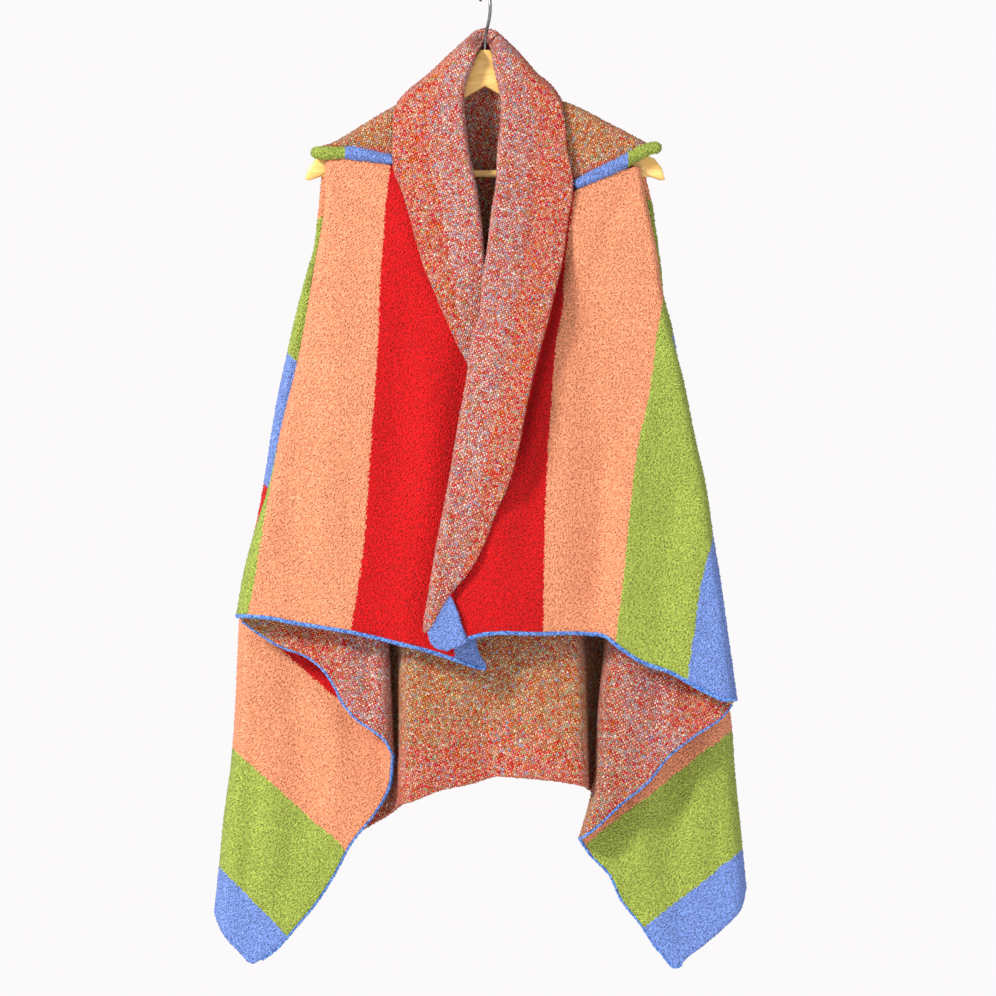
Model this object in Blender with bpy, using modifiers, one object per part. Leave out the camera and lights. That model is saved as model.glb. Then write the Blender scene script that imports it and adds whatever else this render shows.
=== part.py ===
"""Knitted poncho vest with a shawl collar, hung on a wooden hanger.

One double-faced knitted blanket with two arm slits hangs in folds: front, side return, tail and
back lie one behind another on each side. Frame: metres, +Z up, the garment faces -Y, and the
origin is where a rail carries the hook. Tables are in millimetres: x across, drop below the
origin, y depth (minus is towards the front). "right" and "left" are the wearer's.
"""

import math

import bmesh
import bpy
import numpy as np

MM = 0.001
CLOTH = 4.0  # thickness of the double knit
SEAM_GAP = 0.5  # between two layers of the cloth where they meet at a fold, measured along it
STRETCH_GAP = 1.4  # between two stretches of one layer
LAYER_TOP = 10.0  # spacing of the folded layers at the shoulder
LAYER_GROWTH = 0.0335  # how much they open for each mm further down
LAYER_MOST = 34.0
SHOULDER_DROP = 205.0
SHOULDER_RADIUS = 15.0  # of the cloth's bend over the hanger's arms
YOKE_RADIUS = 12.0
OVERLAP_LIFT = 26.0  # how far the upper front stands before the lower one at the middle
OVERLAP_STARTS = (270.0, 400.0)  # drops between which the upper front lifts
OVERLAP_ENDS = (15.0, 130.0)  # distances from the middle over which it comes back down
TURN_COLUMNS = 4  # facets round a fold
TURN_LIP = 2.0  # flat cloth between a fold and the seam behind it
TURN_AT_SHOULDER = 0.35  # share of a half turn that a front's side edge makes at the top
TURN_GROWS_OVER = 70.0
FRONT_COLUMNS = 10

LAPEL_LIE = 6.5  # from a front to the free edge of its lapel
LAPEL_ROLL = 12.0  # from a front to its lapel at the roll
LAPEL_SWELL = 6.0  # how much further the roll stands out beside the neck
SWELL_GROWS = (90.0, 150.0)  # drops
SWELL_ENDS = (250.0, 420.0)
LAPEL_TURNS_FROM = 75.0
LAPEL_TURN_OVER = 40.0
HOOK_PASSES = 55.0  # drop at which the wire stands before the collar
HOOK_ROOM = (8.0, 30.0)  # distances from there over which the collar keeps back
BEHIND_HOOK = 9.0  # depth of the collar's front there
RIDGE_BEHIND = 15.0  # depth of the collar's ridge behind the hook
RIDGE_BESIDE = -1.0  # and over the arms
RIDGE_REACH = 95.0
RIDGE_COMES_BACK = 0.45  # share of that reach, from the outside, with the ridge over the arm
RIDGE_GAP = 1.8  # between the middles of the lapels and the collar's fall, over the arms
RIDGE_ROUNDING = 1.1  # length of the ridge's quarter round for each mm of depth
COLLAR_CLEARS = 8.0  # from the back panel to the collar's fall
TIP_WIDTH = 21.0

WOOD_THICK = 12.0
WOOD_TOP = 74.0
WOOD_ROUND = 3.5
BAR_RADIUS = 4.4
BAR_DROP = 226.5
BAR_REACH = 206.0
BORE_GAP = 0.3
SHANK_IN_WOOD = 20.0
HOOK_WIRE = 4.0
HOOK_RADIUS = 25.0
HOOK_TURN = math.radians(-75.0)  # the hook's plane against the hanger's

# Each layer's depth is its number times the spacing.
LAYERS = {"front": -1.5, "return": -0.5, "tail": 0.5, "back": 1.5}

COLOURS = {
    "wood": ((0.80, 0.53, 0.24), 0.45, 0.0),
    "steel": ((0.35, 0.36, 0.38), 0.3, 1.0),
    "face_peach": ((0.88, 0.35, 0.19), 0.95, 0.0),
    "face_green": ((0.36, 0.46, 0.08), 0.95, 0.0),
    "edge_blue": ((0.14, 0.27, 0.78), 0.95, 0.0),
    "marl": ((0.60, 0.25, 0.18), 0.95, 0.0),
    "marl_ochre": ((0.52, 0.31, 0.15), 0.95, 0.0),
}

# --- edges of the stretches: (x, drop), from the top down -----------------------------------
FRONT_RIGHT_FOLD = [
    (-194, 211), (-197, 283), (-206, 333), (-216, 393), (-227, 453), (-238, 498),
    (-248, 539), (-263, 610), (-283, 675), (-294, 718), (-303, 768),
]
FRONT_RIGHT_INNER = [(-29, 225), (-17, 287), (-9, 368), (-4, 420), (0, 506), (0, 629), (0, 751), (0, 828)]
FRONT_RIGHT_TOP = [(-194, 211), (-172, 210), (-141, 214), (-109, 221), (-68, 225), (-29, 225)]
FRONT_RIGHT_HEM = [
    (-303, 768), (-278, 770), (-246, 776), (-199, 783), (-164, 789), (-116, 800),
    (-70, 811), (-35, 822), (0, 828),
]
FRONT_LEFT_FOLD = [
    (189, 221), (193, 244), (200, 277), (210, 327), (216, 371), (226, 420), (242, 482),
    (256, 552), (269, 609), (278, 673), (287, 726), (296, 792), (307, 870),
]
FRONT_LEFT_INNER = [
    (30, 248), (24, 277), (19, 324), (14, 360), (10, 407), (2, 430), (-4, 482), (-15, 541),
    (-25, 603), (-34, 666), (-36, 727), (-30, 770), (-20, 794),
]
FRONT_LEFT_TOP = [(30, 248), (68, 255), (106, 253), (141, 237), (175, 224), (189, 221)]
FRONT_LEFT_HEM = [
    (-20, 794), (-5, 790), (16, 788), (67, 789), (130, 789), (155, 792), (178, 808),
    (200, 822), (246, 839), (275, 855), (307, 870),
]
RETURN_RIGHT_INNER = [
    (-184, 345), (-172, 432), (-156, 530), (-141, 629), (-129, 727), (-120, 813), (-117, 875), (-114, 940),
]
RETURN_RIGHT_HEM = [
    (-303, 772), (-279, 790), (-251, 807), (-216, 821), (-197, 837), (-184, 856),
    (-173, 878), (-154, 899), (-138, 910), (-122, 923), (-114, 940),
]
RETURN_LEFT_INNER = [
    (192, 383), (183, 506), (171, 604), (160, 703), (150, 801), (140, 901), (136, 975),
    (127, 1014), (118, 1044),
]
RETURN_LEFT_HEM = [
    (307, 872), (290, 894), (257, 917), (224, 943), (200, 973), (165, 1002), (132, 1033), (118, 1044),
]
TAIL_RIGHT_FOLD = [
    (-215, 336), (-230, 392), (-242, 444), (-257, 514), (-267, 577), (-272, 609), (-285, 676),
    (-297, 728), (-303, 787), (-305, 829), (-309, 908), (-314, 963), (-322, 1022), (-328, 1085), (-334, 1140),
]
TAIL_RIGHT_HEM = [
    (-334, 1140), (-323, 1165), (-304, 1186), (-288, 1200), (-272, 1192), (-258, 1181), (-235, 1155),
    (-210, 1125), (-189, 1092), (-168, 1053), (-137, 1013), (-120, 984), (-114, 942),
]
TAIL_LEFT_FOLD = [
    (219, 378), (230, 419), (241, 493), (253, 567), (266, 641), (277, 715), (287, 790),
    (297, 864), (303, 902), (308, 968), (314, 1027), (318, 1068), (322, 1110),
]
TAIL_LEFT_HEM = [
    (322, 1110), (316, 1134), (297, 1154), (271, 1177), (250, 1193), (235, 1205), (223, 1192),
    (214, 1182), (194, 1152), (171, 1123), (155, 1090), (132, 1066), (118, 1046),
]
BACK_RIGHT_EDGE = [(-199, 221), (-203, 258), (-205, 285), (-209, 313), (-215, 336)]
BACK_LEFT_EDGE = [(195, 221), (202, 252), (207, 275), (209, 300), (213, 322), (216, 350), (219, 378)]

# The back's pleats, a row for each line down it: where it starts, where it meets the hem, and how
# far it stands forward (0 in the back layer, 1 at the deep middle bulge).
BACK_LINES = [
    # x_top, drop_top, x_hem, drop_hem, forward
    (-199, 221, -334, 1140, 0.0),
    (-184, 217, -288, 1110, 0.0),
    (-164, 207, -235, 1085, 0.0),
    (-142, 194, -170, 1045, 0.0),
    (-124, 182, -122, 1020, 0.05),
    (-108, 171, -106, 1006, 0.40),
    (-94, 158, -103, 1001, 0.92),
    (-76, 145, -90, 998, 1.0),
    (-50, 125, -56, 984, 0.95),
    (-20, 108, -15, 976, 0.84),
    (6, 102, 12, 967, 0.78),
    (34, 113, 50, 969, 0.92),
    (60, 130, 85, 972, 1.0),
    (80, 146, 114, 977, 1.0),
    (94, 158, 125, 980, 0.92),
    (108, 170, 127, 984, 0.40),
    (124, 181, 142, 996, 0.05),
    (146, 195, 180, 1022, 0.0),
    (166, 208, 232, 1056, 0.0),
    (182, 216, 280, 1085, 0.0),
    (195, 221, 322, 1110, 0.0),
]
BACK_STRETCHES = [  # name, first and last row, first and last line
    ("back_panel", 0, 7, 0, 20),
    ("back_side_right", 7, 18, 0, 3),
    ("back_pleats", 7, 12, 3, 17),
    ("back_pleats_foot", 12, 18, 3, 17),
    ("back_side_left", 7, 18, 17, 20),
]
BULGE_DEPTH = -26.0
BULGE_GROWS = (340.0, 720.0)  # drops
BACK_SEAM_STARTS = (285.0, 334.0)  # drops between which the back draws in to meet the tails
EDGE_COLUMNS = 4.0  # lines over which a side edge's own shape fades
YOKE_SEAM = 0.8

# Lapels: (x, drop). The roll is where the cloth folds out, the free edge is the blanket's own edge.
LAPEL_RIGHT_ROLL = [
    (-2.5, 51), (-3.5, 62), (-9, 69), (-14, 78), (-21, 92), (-29, 112), (-33, 137), (-31, 167), (-27, 201),
    (-19, 238), (-12, 286), (-7, 330), (-2, 367), (-1, 402), (1, 467),
]
LAPEL_RIGHT_EDGE = [
    (-105, 137), (-111, 155), (-112, 184), (-111, 222), (-99, 253), (-86, 299), (-74, 340), (-60, 374),
    (-43, 414), (-29, 444), (-17, 466),
]
LAPEL_RIGHT_TOP = [(-2.5, 51), (-18, 58), (-43, 83), (-62, 103), (-78, 117), (-94, 125), (-105, 137)]
LAPEL_LEFT_ROLL = [
    (2.5, 51), (4, 62), (10, 69), (15, 84), (20, 105), (26, 133), (27, 149), (22, 206), (21, 238), (15, 276),
    (10, 323), (4, 359), (0, 405), (-8, 429), (-15, 480), (-26, 540), (-36, 602), (-48, 665),
    (-56, 708), (-62, 748), (-66, 768),
]
LAPEL_LEFT_EDGE = [
    (92, 137), (97, 167), (100, 197), (107, 244), (101, 281), (94, 333), (85, 370), (75, 411),
    (64, 450), (48, 519), (38, 571), (26, 612), (12, 644), (-3, 684), (-21, 717), (-38, 736), (-45, 744),
]
LAPEL_LEFT_TOP = [(2.5, 51), (24, 67), (38, 79), (50, 94), (64, 112), (77, 118), (92, 137)]
LAPEL_TIP_OUTER = [(-43.5, 745.5), (-38, 757), (-30, 778), (-23, 797)]
LAPEL_TIP_INNER = [(-66, 770.5), (-70, 785), (-66, 800), (-49, 806)]

# Yokes over the arms: x, drop of the ridge, drop of the front edge, drop of the back edge.
YOKE_RIGHT = [
    (-198, 192, 196, 219),
    (-188, 189, 195, 216),
    (-172, 180, 194, 207),
    (-148, 165, 197, 195),
    (-125, 151, 201, 180),
    (-107, 141, 203, 167),
]
YOKE_LEFT = [
    (94, 137, 240, 156),
    (106, 142, 236, 165),
    (121, 148, 229, 176),
    (145, 163, 218, 192),
    (170, 174, 206, 208),
    (186, 184, 197, 216),
    (197, 189, 195, 220),
]
ROLL_RADIUS = 6.5
ROLL_REACH = 9.0  # how far the roll goes on past the shoulder
ROLL_STARTS = 115.0  # beside the lapels

COLLAR_FOOT = 208.0  # drop of the collar's lower edge behind, and how much it rises at the sides
COLLAR_FOOT_RISE = 12.0

# Half of the hanger's outline: (x, drop), from the top of its middle round to the notch below.
HANGER_OUTLINE = [
    (0, 74), (6, 74), (12, 81), (26, 97), (50, 116), (79, 135), (104, 151), (148, 171.5),
    (172, 187), (194, 202), (209, 208), (218, 220), (222, 234), (216, 235), (200, 229),
    (170, 213), (26, 134), (0, 119),
]


def spacing(drop):
    """Distance between two layers of the hanging cloth."""
    return min(LAYER_MOST, LAYER_TOP + LAYER_GROWTH * (drop - SHOULDER_DROP))


def smooth(value, low, high):
    t = min(1.0, max(0.0, (value - low) / (high - low)))
    return t * t * (3.0 - 2.0 * t)


def front_depth(side, x, drop):
    depth = LAYERS["front"] * spacing(drop)
    if side > 0:
        depth -= OVERLAP_LIFT * smooth(drop, *OVERLAP_STARTS) * (1.0 - smooth(x, *OVERLAP_ENDS))
    return depth


def half(drop):
    """Radius of the fold between two neighbouring layers."""
    return spacing(drop) / 2.0


def half_and_gap(drop):
    return half(drop) + TURN_LIP + SEAM_GAP


def fractions(rows):
    """How far along its own length each row of a table lies, from 0 to 1."""
    points = np.array(rows, float)
    steps = np.hypot(*np.diff(points[:, :2], axis=0).T)
    return np.concatenate([[0.0], np.cumsum(steps)]) / steps.sum()


def along(rows, t):
    """Point at fraction t of a table's length."""
    marks = fractions(rows)
    return np.array([np.interp(t, marks, column) for column in np.array(rows, float).T])


def patch(top, bottom, first, last, u_marks, v_marks):
    """Grid of (x, drop) filled in between four edges: rows down, columns across."""
    grid = np.zeros((len(v_marks), len(u_marks), 2))
    c00, c10 = along(first, 0.0), along(last, 0.0)
    c01, c11 = along(first, 1.0), along(last, 1.0)
    for i, v in enumerate(v_marks):
        for j, u in enumerate(u_marks):
            sides = (1 - u) * along(first, v) + u * along(last, v)
            ends = (1 - v) * along(top, u) + v * along(bottom, u)
            corners = (1 - u) * ((1 - v) * c00 + v * c01) + u * ((1 - v) * c10 + v * c11)
            grid[i, j] = sides + ends - corners
    return grid


def with_depth(grid, depth):
    """Adds the depth, given as a function of x and drop."""
    y = np.vectorize(depth)(grid[:, :, 0], grid[:, :, 1])
    return np.stack([grid[:, :, 0], y, grid[:, :, 1]], axis=2)


def inset(grid, at_first, at_last):
    """Draws the two side edges in, to leave room for the folds."""
    direction = np.sign(grid[:, -1, 0] - grid[:, 0, 0]).mean()
    out = grid.copy()
    for i, row in enumerate(grid):
        a = at_first(row[0, 1]) if callable(at_first) else at_first
        b = at_last(row[-1, 1]) if callable(at_last) else at_last
        u = (row[:, 0] - row[0, 0]) / (row[-1, 0] - row[0, 0])
        out[i, :, 0] += direction * (a * (1 - u) - b * u)
    return out


def add_turn(sheet, end, radius, amount):
    """Bends the cloth on round a fold at its first (0) or last (-1) column, towards the back."""
    rows = len(sheet)
    near = sheet[:, 0 if end == 0 else -1]
    inner = sheet[:, 1 if end == 0 else -2]
    outward = np.sign(near[:, 0] - inner[:, 0])
    added = []
    for k in range(1, TURN_COLUMNS + 1):
        column = near.copy()
        for i in range(rows):
            r = radius(near[i, 2])
            angle = math.pi * amount(near[i, 2]) * k / TURN_COLUMNS
            column[i, 0] += outward[i] * r * math.sin(angle)
            column[i, 1] += r * (1 - math.cos(angle))
        added.append(column)
    lip = added[-1].copy()
    for i in range(rows):
        angle = math.pi * amount(near[i, 2])
        lip[i, 0] += outward[i] * TURN_LIP * math.cos(angle)
        lip[i, 1] += TURN_LIP * math.sin(angle)
    added.append(lip)
    added = np.stack(added, axis=1)
    if end == 0:
        return np.concatenate([added[:, ::-1], sheet], axis=1)
    return np.concatenate([sheet, added], axis=1)


def cut_stretch(sheet, first_row, last_row, first_line, last_line):
    """Part of the sheet, drawn in by half the gap wherever the next part begins."""
    part = sheet[first_row:last_row + 1, first_line:last_line + 1].copy()
    meets = (first_row > 0, last_row < len(sheet) - 1, first_line > 0, last_line < sheet.shape[1] - 1)
    rim_and_inner = ((part[0], part[1]), (part[-1], part[-2]), (part[:, 0], part[:, 1]), (part[:, -1], part[:, -2]))
    for drawn_in, (rim, inner) in zip(meets, rim_and_inner):
        if drawn_in:
            inwards = inner - rim
            rim += STRETCH_GAP / 2.0 * inwards / np.linalg.norm(inwards, axis=1, keepdims=True)
    return part


def material(name):
    found = bpy.data.materials.get(name)
    if found:
        return found
    colour, roughness, metallic = COLOURS[name]
    made = bpy.data.materials.new(name)
    made.use_nodes = True
    shader = made.node_tree.nodes["Principled BSDF"]
    shader.inputs["Base Color"].default_value = (*colour, 1.0)
    shader.inputs["Roughness"].default_value = roughness
    shader.inputs["Metallic"].default_value = metallic
    return made


def link(name, data, finish):
    obj = bpy.data.objects.new(name, data)
    garment.objects.link(obj)
    data.materials.append(material(finish))
    return obj


def cloth(name, sheet, finish):
    """An open grid of points in mm, made a wall of the cloth's thickness."""
    rows, columns = sheet.shape[:2]
    mesh = bpy.data.meshes.new(name)
    points = [(x * MM, y * MM, -drop * MM) for x, y, drop in sheet.reshape(-1, 3)]
    faces = [
        (i * columns + j, (i + 1) * columns + j, (i + 1) * columns + j + 1, i * columns + j + 1)
        for i in range(rows - 1)
        for j in range(columns - 1)
    ]
    mesh.from_pydata(points, [], faces)
    obj = link(name, mesh, finish)
    wall = obj.modifiers.new("wall", "SOLIDIFY")
    wall.thickness = CLOTH * MM
    wall.offset = 0.0
    mesh.shade_smooth()
    return sheet


def cord(name, points, radius, finish, facets=1):
    """A round edging or wire along points in mm."""
    curve = bpy.data.curves.new(name, "CURVE")
    curve.dimensions = "3D"
    curve.bevel_depth = radius * MM
    curve.bevel_resolution = facets
    curve.use_fill_caps = True
    spline = curve.splines.new("POLY")
    spline.points.add(len(points) - 1)
    for point, (x, y, drop) in zip(spline.points, points):
        point.co = (x * MM, y * MM, -drop * MM, 1.0)
    return link(name, curve, finish)


def edging(name, hem, above, radius, finish="edge_blue"):
    """Edging along a stretch's last row of points, set off it away from the row above."""
    reach = radius + SEAM_GAP
    normals = []
    for k in range(len(hem) - 1):
        run = hem[k + 1] - hem[k]
        run /= np.linalg.norm(run)
        down = (hem[k] + hem[k + 1] - above[k] - above[k + 1]) / 2.0
        down -= run * down.dot(run)
        normals.append(down / np.linalg.norm(down))
    points = []
    for k, point in enumerate(hem):
        before, after = normals[max(0, k - 1)], normals[min(len(normals) - 1, k)]
        points.append(point + reach * (before + after) / (1.0 + before.dot(after)))
    return cord(name, points, radius, finish)


for leftover in list(bpy.data.objects):
    bpy.data.objects.remove(leftover, do_unlink=True)
garment = bpy.data.collections.new("poncho_vest_on_hanger")
cutters = bpy.data.collections.new("cutters")
bpy.context.scene.collection.children.link(garment)
bpy.context.scene.collection.children.link(cutters)


# --- fronts ---------------------------------------------------------------------------------
def make_front(name, side, top, hem, fold, inner, joins_at):
    """From the fold at the side to the roll at the middle, with the side fold turned back."""
    lengths = fractions(fold)
    u_marks = np.linspace(0.0, 1.0, FRONT_COLUMNS)
    if side < 0:
        grid = patch(top, hem, fold, inner, u_marks, lengths)
        flat = inset(grid, half, 0.0)
    else:
        grid = patch(top, hem, inner, fold, u_marks, lengths)
        flat = inset(grid, 0.0, half)
    sheet = with_depth(flat, lambda x, drop: front_depth(side, x, drop))

    def amount(drop):
        growth = smooth(drop, joins_at - TURN_GROWS_OVER, joins_at)
        return TURN_AT_SHOULDER + (1.0 - TURN_AT_SHOULDER) * growth

    sheet = add_turn(sheet, 0 if side < 0 else -1, half, amount)
    return cloth(name, sheet, "face_peach")


FRONT_RIGHT = make_front(
    "front_right", -1, FRONT_RIGHT_TOP, FRONT_RIGHT_HEM, FRONT_RIGHT_FOLD, FRONT_RIGHT_INNER, 300.0
)
FRONT_LEFT = make_front(
    "front_left", 1, FRONT_LEFT_TOP, FRONT_LEFT_HEM, FRONT_LEFT_FOLD, FRONT_LEFT_INNER, 338.0
)


# --- side returns: behind each front, from its fold inwards, and turned back again ------------
def part_of(rows, from_drop):
    """The stretch of an edge below a height."""
    kept = [row for row in rows if row[1] > from_drop + 2.0]  # no row closer than 2 mm to the start
    marks = [row[1] for row in rows]
    x = float(np.interp(from_drop, marks, [row[0] for row in rows]))
    return [(x, from_drop), *kept]


def make_return(name, fold, inner, hem, starts_at):
    outer = part_of(fold, starts_at)
    top = [outer[0], inner[0]]
    marks = fractions(outer)
    grid = patch(top, hem, outer, inner, fractions(hem), marks)
    flat = inset(grid, half_and_gap, half)
    sheet = with_depth(flat, lambda x, drop: LAYERS["return"] * spacing(drop))
    sheet = add_turn(sheet, -1, half, lambda drop: 1.0)
    return cloth(name, sheet, "marl")


RETURN_RIGHT = make_return(
    "side_return_right", FRONT_RIGHT_FOLD, RETURN_RIGHT_INNER, RETURN_RIGHT_HEM, 345.0
)
RETURN_LEFT = make_return("side_return_left", FRONT_LEFT_FOLD, RETURN_LEFT_INNER, RETURN_LEFT_HEM, 383.0)


# --- tails: folded forward face again, down to the blanket's corners ---------------------------
def make_tail(stretches, fold, inner, hem):
    top = [fold[0], inner[0]]
    grid = patch(top, hem, fold, inner, fractions(hem), fractions(fold))
    flat = inset(grid, half, half_and_gap)
    sheet = with_depth(flat, lambda x, drop: LAYERS["tail"] * spacing(drop))
    sheet = add_turn(sheet, 0, half, lambda drop: 1.0)
    last_line = sheet.shape[1] - 1
    for name, first_row, last_row in stretches:
        cloth(name, cut_stretch(sheet, first_row, last_row, 0, last_line), "face_green")
    return sheet


TAIL_RIGHT = make_tail([("tail_right", 0, 14)], TAIL_RIGHT_FOLD, RETURN_RIGHT_INNER, TAIL_RIGHT_HEM)
TAIL_LEFT = make_tail(
    [("tail_left", 0, 6), ("tail_left_foot", 6, 12)], TAIL_LEFT_FOLD, RETURN_LEFT_INNER, TAIL_LEFT_HEM
)


# --- back panel --------------------------------------------------------------------------------
def back_depth(drop, forward):
    rear = LAYERS["back"] * spacing(drop)
    share = forward * smooth(drop, *BULGE_GROWS)
    return rear + (BULGE_DEPTH - rear) * share


def make_back():
    """Its side edges have the same rows as the tails, so that the seams meet all the way down."""
    edges = (BACK_RIGHT_EDGE + TAIL_RIGHT_FOLD[1:], BACK_LEFT_EDGE + TAIL_LEFT_FOLD[1:])
    rows = len(edges[0])
    last = len(BACK_LINES) - 1
    sheet = np.zeros((rows, last + 1, 3))
    for j, (x_top, drop_top, x_hem, drop_hem, forward) in enumerate(BACK_LINES):
        right_share = 1.0 - j / last
        for i in range(rows):
            v = 0.0
            for edge, share in zip(edges, (right_share, 1.0 - right_share)):
                v += share * (edge[i][1] - edge[0][1]) / (edge[-1][1] - edge[0][1])
            drop = drop_top + (drop_hem - drop_top) * v
            x = x_top + (x_hem - x_top) * v
            side = 0 if x < 0 else 1
            edge_x, edge_drop = edges[side][i]
            start, finish = BACK_LINES[0 if side == 0 else last][0:3:2]
            room = half_and_gap(edge_drop) * smooth(edge_drop, *BACK_SEAM_STARTS) * (1 if side == 0 else -1)
            from_edge = j if side == 0 else last - j
            own_shape = max(0.0, 1.0 - from_edge / EDGE_COLUMNS)
            x += (edge_x + room - start - (finish - start) * v) * own_shape
            sheet[i, j] = (x, back_depth(drop, forward), drop)
    for j in range(last + 1):
        yoke = YOKE_RIGHT if sheet[0, j, 0] < 0 else YOKE_LEFT
        x_marks = [row[0] for row in yoke]
        if x_marks[0] <= sheet[0, j, 0] <= x_marks[-1]:
            sheet[0, j, 2] = np.interp(sheet[0, j, 0], x_marks, [row[3] for row in yoke]) + YOKE_SEAM
    for name, *ends in BACK_STRETCHES:
        cloth(name, cut_stretch(sheet, *ends), "marl")


make_back()


# --- yokes over the hanger's arms ----------------------------------------------------------------
def make_yoke(name, table):
    """A saddle over the arm: a row down the front, round the ridge and down behind."""
    sheet = []
    for x, ridge, front, back in table:
        top = ridge + CLOTH / 2.0
        spring = min(YOKE_RADIUS, (front - top) * 0.8)  # the round ends above a short straight edge
        rear = min(YOKE_RADIUS, (back - top) * 0.8)
        column = [(x, -YOKE_RADIUS, front), (x, -YOKE_RADIUS, (front + top + spring) / 2.0)]
        for angle in np.linspace(0.0, math.pi, 7):
            rise = spring if angle < math.pi / 2 else rear
            column.append((x, -YOKE_RADIUS * math.cos(angle), top + rise * (1 - math.sin(angle))))
        column.append((x, YOKE_RADIUS, back))
        sheet.append(column)
    return cloth(name, np.array(sheet, float)[:, ::-1], "marl_ochre")


make_yoke("yoke_right", YOKE_RIGHT)
make_yoke("yoke_left", YOKE_LEFT)


def make_roll(name, table):
    """The slit's upper edge, rolled outward, just under the yoke's front edge."""
    side = 1 if table[-1][0] > 0 else -1
    rows = sorted(table, key=lambda row: abs(row[0]))
    x_marks, fronts = [abs(row[0]) for row in rows], [row[2] for row in rows]
    between = [x for x in x_marks if x > ROLL_STARTS + ROLL_RADIUS]
    reach = [ROLL_STARTS, *between, x_marks[-1] + ROLL_REACH]
    points = [
        (side * x, -SHOULDER_RADIUS - 1.0, float(np.interp(x, x_marks, fronts)) + ROLL_RADIUS)
        for x in reach
    ]
    cord(name, points, ROLL_RADIUS - 0.2, "edge_blue", facets=2)


make_roll("armhole_roll_right", YOKE_RIGHT)
make_roll("armhole_roll_left", YOKE_LEFT)


def ridge_depth(x):
    """Depth of the collar's ridge: over the arms at the sides, behind the hook in the middle."""
    inwards = 1.0 - abs(x) / RIDGE_REACH
    return RIDGE_BESIDE + (RIDGE_BEHIND - RIDGE_BESIDE) * smooth(inwards, RIDGE_COMES_BACK, 1.0)


def over_ridge(ridge, lying, below):
    """Depth at a distance below the ridge, on the quarter round down to where the cloth lies."""
    away = min(1.0, below / (RIDGE_ROUNDING * abs(lying - ridge)))
    return ridge + (lying - ridge) * math.sqrt(1.0 - (1.0 - away) ** 2), away


# --- lapels --------------------------------------------------------------------------------------
def make_lapel(name, side, top, edge, roll, v_marks, foot):
    """From the collar's ridge down to its foot, lying on the front, folded back at the roll."""
    u_marks = fractions(top[::side])
    if side < 0:
        grid = patch(top[::-1], foot, edge, roll, u_marks, v_marks)
    else:
        grid = patch(top, foot, roll, edge, u_marks, v_marks)
    sheet = np.zeros((*grid.shape[:2], 3))
    for i in range(grid.shape[0]):
        for j in range(grid.shape[1]):
            x, drop = grid[i, j]
            u = u_marks[j] if side < 0 else 1.0 - u_marks[j]
            lift = LAPEL_LIE + (LAPEL_ROLL - LAPEL_LIE) * u
            lying = front_depth(side, x, drop) - lift
            lying -= LAPEL_SWELL * u * smooth(drop, *SWELL_GROWS) * (1.0 - smooth(drop, *SWELL_ENDS))
            from_hook = math.hypot(x, drop - HOOK_PASSES)
            lying += (BEHIND_HOOK - lying) * (1.0 - smooth(from_hook, *HOOK_ROOM))
            below = abs(grid[i, j] - grid[0, j]).sum()
            depth, away = over_ridge(ridge_depth(grid[0, j, 0]), lying, below)
            sheet[i, j] = (x, depth, drop + CLOTH / 2.0 * (1.0 - away))
    end = -1 if side < 0 else 0

    def radius(drop):
        return (LAPEL_ROLL - SEAM_GAP) / 2.0 - SEAM_GAP / 2.0

    def amount(drop):
        return smooth(drop, LAPEL_TURNS_FROM, LAPEL_TURNS_FROM + LAPEL_TURN_OVER)

    sheet = add_turn(sheet, end, radius, amount)
    return cloth(name, sheet, "marl")


RIDGE_MARKS = [0.0, 0.006, 0.02, 0.045, 0.08]  # rows close together round the ridge
make_lapel(
    "lapel_right", -1, LAPEL_RIGHT_TOP, LAPEL_RIGHT_EDGE, LAPEL_RIGHT_ROLL,
    np.concatenate([RIDGE_MARKS, np.linspace(0.14, 1.0, 9)]),
    [LAPEL_RIGHT_EDGE[-1], LAPEL_RIGHT_ROLL[-1]],
)
make_lapel(
    "lapel_left", 1, LAPEL_LEFT_TOP, LAPEL_LEFT_EDGE, LAPEL_LEFT_ROLL,
    np.concatenate([np.array(RIDGE_MARKS) * 0.6, np.linspace(0.09, 1.0, 13)]),
    [LAPEL_LEFT_ROLL[-1], LAPEL_LEFT_EDGE[-1]],
)


# --- collar's fall down the back -------------------------------------------------------------------
def make_collar_back():
    sheet = []
    for x, top in LAPEL_RIGHT_TOP[::-1] + LAPEL_LEFT_TOP:
        ridge = ridge_depth(x) + RIDGE_GAP
        foot = COLLAR_FOOT - COLLAR_FOOT_RISE * (x / RIDGE_REACH) ** 4
        lying = LAYERS["back"] * spacing(SHOULDER_DROP) + COLLAR_CLEARS
        start = top + CLOTH / 2.0
        column = []
        for share in (0.0, 0.015, 0.05, 0.12, 0.3, 0.6, 1.0):
            drop = start + (foot - start) * share
            column.append((x, over_ridge(ridge, lying, drop - start)[0], drop))
        sheet.append(column)
    return cloth("collar_back", np.array(sheet, float), "marl")


make_collar_back()


# --- turned corner of the upper lapel ----------------------------------------------------------------
def make_tip():
    u_marks = np.linspace(0.0, 1.0, 4)
    v_marks = np.linspace(0.0, 1.0, 5)
    top = [LAPEL_TIP_INNER[0], LAPEL_TIP_OUTER[0]]
    foot = [LAPEL_TIP_INNER[-1], LAPEL_TIP_OUTER[-1]]
    grid = patch(top, foot, LAPEL_TIP_INNER, LAPEL_TIP_OUTER, u_marks, v_marks)

    def depth(x, drop):
        to_roll = min(1.0, max(0.0, (LAPEL_LEFT_EDGE[-1][0] - x) / TIP_WIDTH))
        return front_depth(1, x, drop) - LAPEL_LIE - (LAPEL_ROLL - LAPEL_LIE) * to_roll

    sheet = with_depth(grid, depth)
    return cloth("lapel_tip_left", sheet, "edge_blue")


make_tip()

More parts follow.
